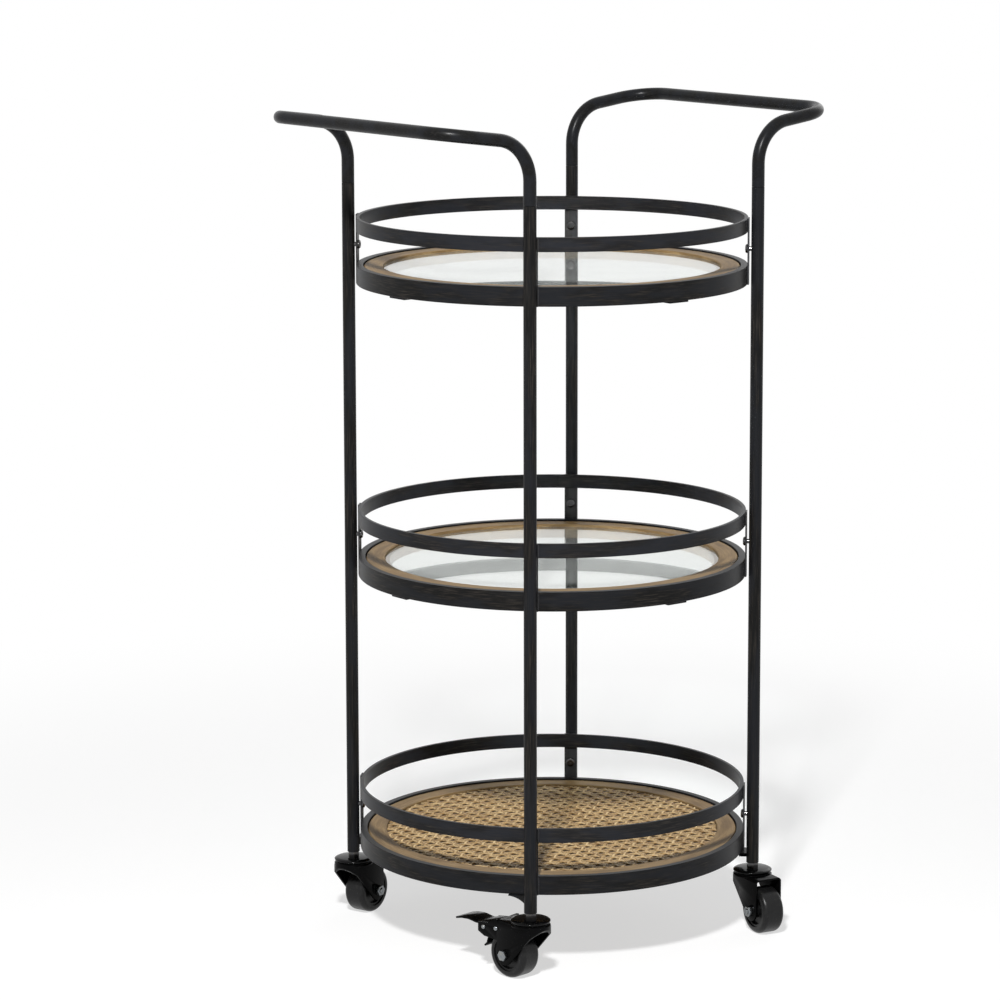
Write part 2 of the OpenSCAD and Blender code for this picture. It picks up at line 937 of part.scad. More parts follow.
handle(-1);  // left_handle
handle(1);  // right_handle
handle_spigots();
leg_tube(LEFT_FRONT);  // left_front_leg
leg_tube(LEFT_REAR);  // left_rear_leg
leg_tube(RIGHT_FRONT);  // right_front_leg
leg_tube(RIGHT_REAR);  // right_rear_leg
guard_rail(top_level);  // top_guard_rail
guard_rail(middle_level);  // middle_guard_rail
guard_rail(bottom_level);  // bottom_guard_rail
tray_hoop(top_level);  // top_tray_hoop
tray_hoop(middle_level);  // middle_tray_hoop
tray_hoop(bottom_level);  // bottom_tray_hoop
straps(top_level);  // top_straps
straps(middle_level);  // middle_straps
straps(bottom_level);  // bottom_straps
strap_screws();
hoop_gussets();
tray_tabs(top_level);  // top_tray_tabs
tray_tabs(middle_level);  // middle_tray_tabs
tray_tabs(bottom_level);  // bottom_tray_tabs
wood_screws();
wood_ring(top_level, glass_drop + glass_t);  // top_wood_ring
wood_ring(middle_level, glass_drop + glass_t);  // middle_wood_ring
wood_ring(bottom_level, cane_drop + cane_t + board_t);  // bottom_wood_ring
glass_disc(top_level);  // top_glass
glass_disc(middle_level);  // middle_glass
backing_board();
cane_panel();
leg_sockets();
caster_stems();
upper_races();
race_balls();
at_caster(LEFT_FRONT, swivel_left_front) fork(true);  // left_front_fork
at_caster(LEFT_REAR, swivel_left_rear) fork(false);  // left_rear_fork
at_caster(RIGHT_FRONT, swivel_right_front) fork(false);  // right_front_fork
at_caster(RIGHT_REAR, swivel_right_rear) fork(true);  // right_rear_fork
at_caster(LEFT_FRONT, swivel_left_front) axle_bolt();  // left_front_axle_bolt
at_caster(LEFT_REAR, swivel_left_rear) axle_bolt();  // left_rear_axle_bolt
at_caster(RIGHT_FRONT, swivel_right_front) axle_bolt();  // right_front_axle_bolt
at_caster(RIGHT_REAR, swivel_right_rear) axle_bolt();  // right_rear_axle_bolt
at_caster(LEFT_FRONT, swivel_left_front) axle_nut();  // left_front_axle_nut
at_caster(LEFT_REAR, swivel_left_rear) axle_nut();  // left_rear_axle_nut
at_caster(RIGHT_FRONT, swivel_right_front) axle_nut();  // right_front_axle_nut
at_caster(RIGHT_REAR, swivel_right_rear) axle_nut();  // right_rear_axle_nut
at_caster(LEFT_FRONT, swivel_left_front) tyre();  // left_front_tyre
at_caster(LEFT_REAR, swivel_left_rear) tyre();  // left_rear_tyre
at_caster(RIGHT_FRONT, swivel_right_front) tyre();  // right_front_tyre
at_caster(RIGHT_REAR, swivel_right_rear) tyre();  // right_rear_tyre
at_caster(LEFT_FRONT, swivel_left_front) wheel_core();  // left_front_wheel_core
at_caster(LEFT_REAR, swivel_left_rear) wheel_core();  // left_rear_wheel_core
at_caster(RIGHT_FRONT, swivel_right_front) wheel_core();  // right_front_wheel_core
at_caster(RIGHT_REAR, swivel_right_rear) wheel_core();  // right_rear_wheel_core
at_caster(LEFT_FRONT, swivel_left_front) brake_pedal();  // left_front_brake_pedal
at_caster(RIGHT_REAR, swivel_right_rear) brake_pedal();  // right_rear_brake_pedal
at_caster(LEFT_FRONT, swivel_left_front) brake_shoe();  // left_front_brake_shoe
at_caster(RIGHT_REAR, swivel_right_rear) brake_shoe();  // right_rear_brake_shoe
at_caster(LEFT_FRONT, swivel_left_front) brake_rivets();  // left_front_brake_rivets
at_caster(RIGHT_REAR, swivel_right_rear) brake_rivets();  // right_rear_brake_rivets
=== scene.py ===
"""Round bar cart on four swivel casters: finishes, woven cane, fasteners, welds and a plain studio.

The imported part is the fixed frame. Its nodes keep their shapes and get finishes here. The cane panel,
the tabs, the screws, the races and the casters' sheet metal are made again in finer detail.
"""

import logging
import math
from collections.abc import Callable
from dataclasses import dataclass, field
from enum import Enum
from functools import partial
from random import Random

import bmesh
import bpy
from mathutils import Matrix, Vector


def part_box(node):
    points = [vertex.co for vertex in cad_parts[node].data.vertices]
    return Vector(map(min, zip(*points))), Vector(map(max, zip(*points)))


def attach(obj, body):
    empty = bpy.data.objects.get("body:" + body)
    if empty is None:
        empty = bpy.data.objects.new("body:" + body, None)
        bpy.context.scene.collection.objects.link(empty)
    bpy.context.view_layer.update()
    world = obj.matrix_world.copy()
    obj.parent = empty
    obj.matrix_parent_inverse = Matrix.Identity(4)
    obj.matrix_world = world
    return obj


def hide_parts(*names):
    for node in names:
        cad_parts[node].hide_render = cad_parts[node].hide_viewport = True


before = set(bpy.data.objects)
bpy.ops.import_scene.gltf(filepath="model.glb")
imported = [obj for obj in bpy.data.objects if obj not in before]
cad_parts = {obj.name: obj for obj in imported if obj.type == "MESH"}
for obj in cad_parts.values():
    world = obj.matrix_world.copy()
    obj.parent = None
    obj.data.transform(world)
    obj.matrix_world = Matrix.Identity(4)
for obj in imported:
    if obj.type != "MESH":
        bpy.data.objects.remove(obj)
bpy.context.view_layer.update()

log = logging.getLogger("bar_cart")

MM = 0.001
MERGE_GAP = 0.004 * MM
UP = Vector((0.0, 0.0, 1.0))
WHITE = (1.0, 1.0, 1.0, 1.0)
Colour = tuple[float, float, float]


class Corner(Enum):
    """The four legs, named as their nodes and bodies are."""

    LEFT_FRONT = "left_front"
    LEFT_REAR = "left_rear"
    RIGHT_FRONT = "right_front"
    RIGHT_REAR = "right_rear"


class Level(Enum):
    """The three shelves, named as their nodes are."""

    TOP = "top"
    MIDDLE = "middle"
    BOTTOM = "bottom"


class Run(Enum):
    """Way in which the marks of drawing and brushing run along a metal part."""

    UPRIGHT = "upright"
    ROUND = "round"
    PLAIN = "plain"


BRAKED = (Corner.LEFT_FRONT, Corner.RIGHT_REAR)


# ---- Finishes ----


class Nodes:
    """A node tree, with short ways to add nodes and join them."""

    def __init__(self, tree: bpy.types.NodeTree) -> None:
        """Takes a tree and empties it.

        Args:
            tree: Node tree of a material or of the world.
        """
        self.tree = tree
        self.tree.nodes.clear()

    def join(self, start: bpy.types.NodeSocket, end: bpy.types.NodeSocket) -> None:
        """Links two sockets."""
        self.tree.links.new(start, end)

    def add(self, kind: str, **settings: object) -> bpy.types.Node:
        """Adds a node and sets its properties.

        Args:
            kind: Blender's name of the node type.
            settings: Properties of the node, by name.

        Returns:
            The new node.
        """
        node = self.tree.nodes.new(kind)
        for key, value in settings.items():
            setattr(node, key, value)
        return node

    def feed(self, node: bpy.types.Node, sockets: dict[str | int, object]) -> bpy.types.Node:
        """Sets or links input sockets of a node.

        Args:
            node: Node to fill in.
            sockets: Values, or sockets to link from, by input name or number.

        Returns:
            The same node.
        """
        for key, value in sockets.items():
            if isinstance(value, bpy.types.NodeSocket):
                self.join(value, node.inputs[key])
            else:
                node.inputs[key].default_value = value
        return node

    def combine(self, operation: str, *terms: object) -> bpy.types.NodeSocket:
        """Joins numbers or sockets with one Math operation.

        Args:
            operation: Blender's name of the operation.
            terms: Numbers, or sockets to link from, in order.

        Returns:
            Socket with the result.
        """
        node = self.feed(self.add("ShaderNodeMath", operation=operation), dict(enumerate(terms)))
        return node.outputs[0]

    def vector(self, operation: str, terms: dict[str | int, object]) -> bpy.types.Node:
        """Adds one Vector Math operation.

        Args:
            operation: Blender's name of the operation.
            terms: Values, or sockets to link from, by input name or number.

        Returns:
            The new node.
        """
        return self.feed(self.add("ShaderNodeVectorMath", operation=operation), terms)

    def blended(
        self, share: object, first: bpy.types.NodeSocket, second: bpy.types.NodeSocket
    ) -> bpy.types.NodeSocket:
        """Mixes two shaders.

        Args:
            share: Share of the second shader.
            first: First shader.
            second: Second shader.

        Returns:
            Socket with the mixed shader.
        """
        return self.feed(self.add("ShaderNodeMixShader"), {0: share, 1: first, 2: second}).outputs[0]

    def seen(self) -> bpy.types.NodeSocket:
        """Tells what is seen, straight, mirrored or through glass, from what only lights the cart.

        Returns:
            Socket that is 1 for rays that see and 0 for rays that light.
        """
        path = self.add("ShaderNodeLightPath")
        seen = path.outputs["Is Camera Ray"]
        for ray in ("Is Glossy Ray", "Is Transmission Ray"):
            seen = self.combine("MAXIMUM", seen, path.outputs[ray])
        return seen


class Shade(Nodes):
    """The nodes of a material round one Principled shader."""

    def __init__(self, name: str) -> None:
        """Starts a material with its shader and its output.

        Args:
            name: Name of the material.
        """
        self.material = bpy.data.materials.new(name)
        self.material.use_nodes = True
        super().__init__(self.material.node_tree)
        self.output = self.add("ShaderNodeOutputMaterial")
        self.shader = self.add("ShaderNodeBsdfPrincipled")
        self.join(self.shader.outputs[0], self.output.inputs["Surface"])
        self.place = self.add("ShaderNodeTexCoord").outputs["Object"]

    def stretched(
        self, place: bpy.types.NodeSocket, scale: tuple[float, float, float], turn: float = 0.0
    ) -> bpy.types.NodeSocket:
        """Turns a place about Z and scales it along its axes.

        Args:
            place: Socket with the place.
            scale: Factor along each axis after the turn.
            turn: Angle about Z in degrees.

        Returns:
            Socket with the new place.
        """
        turned = self.add("ShaderNodeMapping", vector_type="POINT")
        self.feed(turned, {"Vector": place, "Rotation": (0.0, 0.0, math.radians(turn))})
        sized = self.add("ShaderNodeMapping", vector_type="POINT")
        self.feed(sized, {"Vector": turned.outputs[0], "Scale": scale})
        return sized.outputs[0]

    def polar(self, radius: float, spread: float = 1.6) -> bpy.types.NodeSocket:
        """Place that changes slowly round the cart's axis and quickly across a ring.

        Args:
            radius: Radius of the small circle that stands for one whole turn.
            spread: Weight of the distance from the axis against the height.

        Returns:
            Socket with the place, without a seam.
        """
        flat = self.vector("MULTIPLY", {0: self.place, 1: (1.0, 1.0, 0.0)}).outputs[0]
        reach = self.vector("LENGTH", {0: flat}).outputs["Value"]
        heading = self.vector("NORMALIZE", {0: flat}).outputs[0]
        around = self.vector("SCALE", {0: heading, "Scale": radius}).outputs[0]
        parts = self.feed(self.add("ShaderNodeSeparateXYZ"), {0: self.place})
        across = self.combine("MULTIPLY_ADD", reach, spread, parts.outputs["Z"])
        rise = self.feed(self.add("ShaderNodeCombineXYZ"), {"Z": across})
        return self.vector("ADD", {0: around, 1: rise.outputs[0]}).outputs[0]

    def noise(
        self, place: bpy.types.NodeSocket, scale: float, detail: float = 3.0, roughness: float = 0.5
    ) -> bpy.types.NodeSocket:
        """Adds a noise texture.

        Args:
            place: Socket with the place to read.
            scale: Waves per metre.
            detail: Number of finer layers.
            roughness: Weight of the finer layers.

        Returns:
            Socket with a value from 0 to 1.
        """
        node = self.add("ShaderNodeTexNoise", noise_dimensions="3D")
        self.feed(node, {"Vector": place, "Scale": scale, "Detail": detail, "Roughness": roughness})
        return node.outputs[0]

    def map_range(
        self, value: bpy.types.NodeSocket, low: float, high: float, to_low: float = 0.0, to_high: float = 1.0
    ) -> bpy.types.NodeSocket:
        """Maps a value smoothly from one range to another, held at both ends.

        Args:
            value: Socket with the value.
            low: Value that gives to_low.
            high: Value that gives to_high.
            to_low: Result at the low end.
            to_high: Result at the high end.

        Returns:
            Socket with the result.
        """
        node = self.add("ShaderNodeMapRange", interpolation_type="SMOOTHSTEP")
        self.feed(node, {"Value": value, "From Min": low, "From Max": high})
        self.feed(node, {"To Min": to_low, "To Max": to_high})
        return node.outputs[0]

    def mix(self, share: object, first: object, second: object) -> bpy.types.NodeSocket:
        """Mixes two colours.

        Args:
            share: Share of the second colour.
            first: First colour, or a socket.
            second: Second colour, or a socket.

        Returns:
            Socket with the mixed colour.
        """
        node = self.add("ShaderNodeMix", data_type="RGBA")
        wide = [c if isinstance(c, bpy.types.NodeSocket) else (*c, 1.0) for c in (first, second)]
        self.feed(node, {0: share, 6: wide[0], 7: wide[1]})
        return node.outputs[2]

    def bump(self, height: bpy.types.NodeSocket, depth: float, strength: float = 1.0) -> None:
        """Raises the surface, on top of what earlier bumps raised.

        Args:
            height: Socket with the height, from 0 to 1.
            depth: Rise at a height of 1, in metres.
            strength: Share of the rise that shows.
        """
        node = self.add("ShaderNodeBump")
        self.feed(node, {"Height": height, "Distance": depth, "Strength": strength})
        earlier = self.shader.inputs["Normal"].links
        if earlier:
            self.join(earlier[0].from_socket, node.inputs["Normal"])
        self.join(node.outputs[0], self.shader.inputs["Normal"])

    def surface(self, **sockets: object) -> bpy.types.Material:
        """Fills in the shader.

        Args:
            sockets: Values, or sockets to link from, by input name with underscores for spaces.

        Returns:
            The material.
        """
        named = {key.replace("_", " "): value for key, value in sockets.items()}
        self.feed(self.shader, named)
        return self.material


@dataclass(frozen=True)
class FrameLacquer:
    """Satin black lacquer, rubbed through in faint bronze streaks along each bar."""

    name: str
    run: Run = Run.PLAIN
    base: Colour = (0.0056, 0.0056, 0.0056)
    warm: Colour = (0.0290, 0.0250, 0.0215)
    cool: Colour = (0.0092, 0.0099, 0.0118)
    rough: float = 0.30
    gloss: float = 0.085
    relief: float = 0.05 * MM
    seam_turn: float | None = None
    seam_tone: Colour = (0.008, 0.008, 0.009)

    def build(self) -> bpy.types.Material:
        """Makes the material.

        Returns:
            The material.
        """
        shade = Shade(self.name)
        if self.run is Run.ROUND:
            streaks = shade.polar(0.011)
            patches = shade.polar(0.06)
        elif self.run is Run.UPRIGHT:
            streaks = shade.stretched(shade.place, (1.0, 1.0, 0.03))
            patches = shade.stretched(shade.place, (1.0, 1.0, 0.2))
        else:
            streaks = shade.stretched(shade.place, (0.35, 0.35, 1.0))
            patches = shade.place
        fine = shade.noise(streaks, scale=900.0, detail=4.0, roughness=0.6)
        broad = shade.noise(patches, scale=55.0, detail=3.0, roughness=0.55)
        grit = shade.noise(shade.place, scale=2600.0, detail=2.0)
        tone = shade.mix(shade.map_range(broad, 0.40, 0.60), self.base, self.cool)
        worn = shade.map_range(broad, 0.38, 0.6, 1.0, 0.25)
        rubbed = shade.combine("MULTIPLY", shade.map_range(fine, 0.46, 0.70), worn)
        tone = shade.mix(rubbed, tone, self.warm)
        rough = shade.combine("MULTIPLY_ADD", fine, 0.16, self.rough)
        if self.seam_turn is not None:
            seam = self.seam(shade)
            tone = shade.mix(seam, tone, self.seam_tone)
            shade.bump(seam, 0.12 * MM, strength=0.8)
        shade.bump(fine, self.relief, strength=0.55)
        shade.bump(grit, 0.02 * MM, strength=0.35)
        return shade.surface(Base_Color=tone, Roughness=rough, Specular_IOR_Level=self.gloss)

    def seam(self, shade: Shade) -> bpy.types.NodeSocket:
        """Narrow line across a ring, where its bar was welded end to end.

        Args:
            shade: Node tree of the material.

        Returns:
            Socket that is 1 on the seam and 0 away from it.
        """
        parts = shade.feed(shade.add("ShaderNodeSeparateXYZ"), {0: shade.place})
        turn = math.radians(self.seam_turn)
        along = shade.combine("MULTIPLY", parts.outputs["X"], math.cos(turn))
        along = shade.combine("MULTIPLY_ADD", parts.outputs["Y"], math.sin(turn), along)
        aside = shade.combine("MULTIPLY", parts.outputs["X"], -math.sin(turn))
        aside = shade.combine("MULTIPLY_ADD", parts.outputs["Y"], math.cos(turn), aside)
        near = shade.map_range(shade.combine("ABSOLUTE", aside), 0.25 * MM, 0.55 * MM, 1.0, 0.0)
        return shade.combine("MULTIPLY", near, shade.combine("GREATER_THAN", along, 0.0))


@dataclass(frozen=True)
class CasterEnamel:
    """Glossy black enamel on the casters' pressed sheet."""

    name: str = "caster_enamel"
    base: Colour = (0.0015, 0.0015, 0.0016)
    dusty: Colour = (0.007, 0.007, 0.0065)
    rough: float = 0.08
    gloss: float = 0.045

    def build(self) -> bpy.types.Material:
        """Makes the material.

        Returns:
            The material.
        """
        shade = Shade(self.name)
        orange_peel = shade.noise(shade.place, scale=700.0, detail=2.0, roughness=0.4)
        dust = shade.noise(shade.place, scale=260.0, detail=4.0, roughness=0.6)
        tone = shade.mix(shade.map_range(dust, 0.55, 0.8, to_high=0.5), self.base, self.dusty)
        rough = shade.combine("MULTIPLY_ADD", dust, 0.16, self.rough)
        shade.bump(orange_peel, 0.10 * MM, strength=0.35)
        return shade.surface(Base_Color=tone, Roughness=rough, Specular_IOR_Level=self.gloss)


@dataclass(frozen=True)
class Plating:
    """Bright zinc plate, or plain steel when its colour is darker."""

    name: str = "zinc_plate"
    base: Colour = (0.205, 0.220, 0.235)
    tint: Colour = (0.300, 0.300, 0.270)
    rough: float = 0.26

    def build(self) -> bpy.types.Material:
        """Makes the material.

        Returns:
            The material.
        """
        shade = Shade(self.name)
        clouds = shade.noise(shade.place, scale=420.0, detail=3.0, roughness=0.55)
        spangle = shade.noise(shade.stretched(shade.place, (1.0, 1.0, 0.2)), scale=2400.0, detail=2.0)
        tone = shade.mix(shade.map_range(clouds, 0.4, 0.7, to_high=0.7), self.base, self.tint)
        rough = shade.combine("MULTIPLY_ADD", spangle, 0.2, self.rough - 0.1)
        shade.bump(spangle, 0.03 * MM, strength=0.5)
        return shade.surface(Base_Color=tone, Roughness=rough, Metallic=1.0)


@dataclass(frozen=True)
class HardRubber:
    """Hard black tread, polished by use, with dust in its pores."""

    name: str = "hard_rubber"
    base: Colour = (0.0060, 0.0060, 0.0063)
    scuffed: Colour = (0.016, 0.016, 0.015)

    def build(self) -> bpy.types.Material:
        """Makes the material.

        Returns:
            The material.
        """
        shade = Shade(self.name)
        pores = shade.noise(shade.place, scale=3200.0, detail=3.0, roughness=0.65)
        scuffs = shade.noise(shade.place, scale=190.0, detail=5.0, roughness=0.65)
        tone = shade.mix(shade.map_range(scuffs, 0.5, 0.75, to_high=0.8), self.base, self.scuffed)
        rough = shade.combine("MULTIPLY_ADD", scuffs, 0.3, 0.16)
        shade.bump(pores, 0.04 * MM, strength=0.5)
        shade.bump(scuffs, 0.12 * MM, strength=0.25)
        return shade.surface(Base_Color=tone, Roughness=rough, Specular_IOR_Level=0.22)


@dataclass(frozen=True)
class MouldedPlastic:
    """Black moulded plastic with a fine spark-eroded grain."""

    name: str = "wheel_plastic"
    base: Colour = (0.0040, 0.0040, 0.0042)
    pale: Colour = (0.010, 0.010, 0.010)

    def build(self) -> bpy.types.Material:
        """Makes the material.

        Returns:
            The material.
        """
        shade = Shade(self.name)
        grain = shade.noise(shade.place, scale=2100.0, detail=2.0, roughness=0.5)
        flow = shade.noise(shade.place, scale=120.0, detail=3.0, roughness=0.5)
        tone = shade.mix(shade.map_range(flow, 0.45, 0.7, to_high=0.5), self.base, self.pale)
        rough = shade.combine("MULTIPLY_ADD", flow, 0.18, 0.24)
        shade.bump(grain, 0.03 * MM, strength=0.5)
        return shade.surface(Base_Color=tone, Roughness=rough, Specular_IOR_Level=0.22)


@dataclass(frozen=True)
class BentWood:
    """Light brown wood, bent round the shelf so that its grain follows the ring."""

    name: str = "bent_wood"
    base: Colour = (0.188, 0.118, 0.052)
    light: Colour = (0.285, 0.198, 0.100)
    dark: Colour = (0.080, 0.046, 0.020)

    def build(self) -> bpy.types.Material:
        """Makes the material.

        Returns:
            The material.
        """
        shade = Shade(self.name)
        grain = shade.noise(shade.polar(0.016), scale=520.0, detail=5.0, roughness=0.62)
        pores = shade.noise(shade.polar(0.010), scale=1900.0, detail=3.0, roughness=0.6)
        bands = shade.noise(shade.polar(0.05), scale=60.0, detail=3.0, roughness=0.5)
        tone = shade.mix(shade.map_range(grain, 0.35, 0.68), self.base, self.light)
        tone = shade.mix(shade.map_range(bands, 0.42, 0.7, to_high=0.55), tone, self.dark)
        tone = shade.mix(shade.map_range(pores, 0.60, 0.74, to_high=0.75), tone, self.dark)
        rough = shade.combine("MULTIPLY_ADD", grain, 0.2, 0.34)
        shade.bump(grain, 0.10 * MM, strength=0.4)
        shade.bump(pores, 0.06 * MM, strength=0.4)
        return shade.surface(Base_Color=tone, Roughness=rough, Specular_IOR_Level=0.06)


@dataclass(frozen=True)
class SplitCane:
    """Natural split cane, whose fibres run along the strands of one direction."""

    name: str
    turn: float
    base: Colour = (0.245, 0.145, 0.059)
    light: Colour = (0.490, 0.342, 0.164)
    dark: Colour = (0.130, 0.066, 0.025)

    def build(self) -> bpy.types.Material:
        """Makes the material.

        Returns:
            The material.
        """
        shade = Shade(self.name)
        along = shade.stretched(shade.place, (0.02, 1.0, 1.0), -self.turn)
        fibres = shade.noise(along, scale=2600.0, detail=3.0, roughness=0.6)
        level = shade.stretched(shade.place, (0.04, 1.0, 0.0), -self.turn)
        strands = shade.noise(level, scale=310.0, detail=1.0, roughness=0.4)
        blotches = shade.noise(shade.place, scale=75.0, detail=4.0, roughness=0.6)
        tone = shade.mix(shade.map_range(strands, 0.36, 0.64), self.base, self.light)
        tone = shade.mix(shade.map_range(blotches, 0.5, 0.75, to_high=0.6), tone, self.dark)
        tone = shade.mix(shade.map_range(fibres, 0.56, 0.74, to_high=0.45), tone, self.dark)
        rough = shade.combine("MULTIPLY_ADD", fibres, 0.2, 0.30)
        shade.bump(fibres, 0.05 * MM, strength=0.5)
        return shade.surface(Base_Color=tone, Roughness=rough, Specular_IOR_Level=0.14)


@dataclass(frozen=True)
class Backing:
    """Stained board under the cane, darkened as painted shade from the cane above it."""

    name: str = "stained_board_painted_shade"
    # The board's brown is its stain; how dark it is stands for the shade under the cane: painted shade.
    base: Colour = (0.046, 0.027, 0.012)
    light: Colour = (0.078, 0.047, 0.022)
    dark: Colour = (0.022, 0.013, 0.007)

    def build(self) -> bpy.types.Material:
        """Makes the material.

        Returns:
            The material.
        """
        shade = Shade(self.name)
        along = shade.stretched(shade.place, (0.06, 1.0, 1.0))
        grain = shade.noise(along, scale=420.0, detail=4.0, roughness=0.6)
        chips = shade.noise(shade.place, scale=900.0, detail=3.0, roughness=0.6)
        tone = shade.mix(shade.map_range(grain, 0.35, 0.7), self.base, self.light)
        tone = shade.mix(shade.map_range(chips, 0.55, 0.75, to_high=0.5), tone, self.dark)
        shade.bump(grain, 0.10 * MM, strength=0.5)
        return shade.surface(Base_Color=tone, Roughness=0.62, Specular_IOR_Level=0.2)


@dataclass(frozen=True)
class FloatGlass:
    """Pale float glass, faintly wavy and wiped, with a thin film of dust."""

    name: str = "float_glass"
    tint: Colour = (0.690, 0.720, 0.700)
    dust: Colour = (0.88, 0.90, 0.89)
    shadow: Colour = (0.90, 0.93, 0.92)

    def build(self) -> bpy.types.Material:
        """Makes the material.

        Returns:
            The material.
        """
        shade = Shade(self.name)
        smears = shade.noise(shade.place, scale=14.0, detail=4.0, roughness=0.6)
        rough = shade.map_range(smears, 0.5, 0.8, to_high=0.035)
        waves = shade.noise(shade.place, scale=9.0, detail=1.0, roughness=0.3)
        shade.bump(waves, 0.05 * MM, strength=0.3)
        shade.surface(Base_Color=(*self.tint, 1.0), Roughness=rough, IOR=1.52, Transmission_Weight=1.0)
        film = shade.feed(shade.add("ShaderNodeBsdfDiffuse"), {"Color": (*self.dust, 1.0)})
        cover = shade.map_range(smears, 0.3, 0.8, 0.05, 0.10)
        dusty = shade.blended(cover, shade.shader.outputs[0], film.outputs[0])
        clear = shade.feed(shade.add("ShaderNodeBsdfTransparent"), {"Color": (*self.shadow, 1.0)})
        ray = shade.add("ShaderNodeLightPath").outputs["Is Shadow Ray"]
        shade.join(shade.blended(ray, dusty, clear.outputs[0]), shade.output.inputs["Surface"])
        return shade.material


# ---- Shared ways of making pieces ----


def deselect() -> None:
    """Leaves edit mode and deselects every object."""
    if bpy.context.object and bpy.context.object.mode != "OBJECT":
        bpy.ops.object.mode_set(mode="OBJECT")
    bpy.ops.object.select_all(action="DESELECT")


def choose(piece: bpy.types.Object) -> None:
    """Selects one object alone and makes it the active one.

    Args:
        piece: Object to select.
    """
    deselect()
    piece.select_set(True)
    bpy.context.view_layer.objects.active = piece


def apply_modifiers(piece: bpy.types.Object) -> None:
    """Applies every modifier of a piece, in order.

    Args:
        piece: Piece with the modifiers.
    """
    choose(piece)
    for modifier in list(piece.modifiers):
        bpy.ops.object.modifier_apply(modifier=modifier.name)


def smooth(piece: bpy.types.Object, degrees: float = 35.0) -> None:
    """Shades a piece smoothly over every edge below an angle."""
    choose(piece)
    bpy.ops.object.shade_smooth_by_angle(angle=math.radians(degrees))


def dress(piece: bpy.types.Object, finish: bpy.types.Material) -> None:
    """Gives a piece one finish all over."""
    piece.data.materials.clear()
    piece.data.materials.append(finish)


def join_pieces(pieces: list[bpy.types.Object], name: str) -> bpy.types.Object:
    """Joins pieces into one mesh.

    Args:
        pieces: Pieces to join; the first one is kept.
        name: Name of the joined piece.

    Returns:
        The joined piece.
    """
    choose(pieces[0])
    for piece in pieces:
        piece.select_set(True)
    if len(pieces) > 1:
        bpy.ops.object.join()
    pieces[0].name = name
    pieces[0].data.name = name
    return pieces[0]


def place_mesh(piece: bpy.types.Object, place: Matrix) -> None:
    """Moves a piece's mesh by a matrix, and leaves its object at the origin."""
    piece.data.transform(place @ piece.matrix_world)
    piece.matrix_world = Matrix.Identity(4)


def finish_piece(
    piece: bpy.types.Object, body: str, finish: bpy.types.Material, nodes: tuple[str, ...] = ()
) -> None:
    """Dresses a new piece, rides it on its body and names what it stands for.

    Args:
        piece: The finished mesh, in the cart's frame.
        body: CAD body that carries it.
        finish: Material.
        nodes: CAD nodes that it replaces.
    """
    dress(piece, finish)
    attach(piece, body)
    if nodes:
        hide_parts(*nodes)
    log.info("%s: %d faces, on %s", piece.name, len(piece.data.polygons), body)


def merged_copy(node: str, name: str, flat: float = 0.4) -> bpy.types.Object:
    """Copies a CAD node's mesh and joins its loose triangles into whole faces.

    Args:
        node: CAD node to copy.
        name: Name of the copy.
        flat: Angle in degrees up to which triangles are one face.

    Returns:
        The copy, on no body.
    """
    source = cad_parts[node]
    piece = bpy.data.objects.new(name, source.data.copy())
    bpy.context.scene.collection.objects.link(piece)
    choose(piece)
    bpy.ops.object.mode_set(mode="EDIT")
    bpy.ops.mesh.select_all(action="SELECT")
    bpy.ops.mesh.customdata_custom_splitnormals_clear()
    bpy.ops.mesh.remove_doubles(threshold=MERGE_GAP)
    bpy.ops.mesh.dissolve_limited(angle_limit=math.radians(flat))
    bpy.ops.object.mode_set(mode="OBJECT")
    return piece


def eased_copy(node: str, name: str, width: float, sharp: float = 40.0) -> bpy.types.Object:
    """Copies a CAD node and rounds its sharp edges.

    Args:
        node: CAD node to copy.
        name: Name of the copy.
        width: Width of the rounding, in metres.
        sharp: Angle in degrees from which an edge is rounded.

    Returns:
        The rounded copy, on no body.
    """
    piece = merged_copy(node, name)
    bevel = add_bevel(piece, "ANGLE", width, 2)
    bevel.angle_limit = math.radians(sharp)
    bevel.use_clamp_overlap = True
    bevel.miter_outer = "MITER_ARC"
    apply_modifiers(piece)
    smooth(piece)
    return piece


def solids(node: str) -> list[list[Vector]]:
    """Corners of each separate solid in a CAD node.

    Args:
        node: CAD node with one or more solids.

    Returns:
        One list of points for each solid, in the order of their first corners.
    """
    mesh = bmesh.new()
    mesh.from_mesh(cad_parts[node].data)
    bmesh.ops.remove_doubles(mesh, verts=mesh.verts, dist=MERGE_GAP)
    left, found = set(mesh.verts), []
    for first in mesh.verts:
        if first not in left:
            continue
        left.remove(first)
        edge, island = [first], []
        while edge:
            vert = edge.pop()
            island.append(vert.co.copy())
            others = [link.other_vert(vert) for link in vert.link_edges]
            near = [other for other in others if other in left]
            left.difference_update(near)
            edge.extend(near)
        found.append(island)
    mesh.free()
    return found


def span(points: list[Vector], direction: Vector) -> tuple[float, float]:
    """Extent of points along a direction.

    Args:
        points: The points.
        direction: Direction of length 1.

    Returns:
        Lowest and highest place along it.
    """
    places = [point.dot(direction) for point in points]
    return min(places), max(places)


def outward(points: list[Vector]) -> Vector:
    """Level direction from the cart's axis to the middle of points.

    Args:
        points: Corners of a solid.

    Returns:
        Direction of length 1.
    """
    middle = sum(points, Vector()) / len(points)
    return Vector((middle.x, middle.y, 0.0)).normalized()


def sideways(direction: Vector) -> Vector:
    """Level direction a quarter turn to the left of another one."""
    return Vector((-direction.y, direction.x, 0.0))


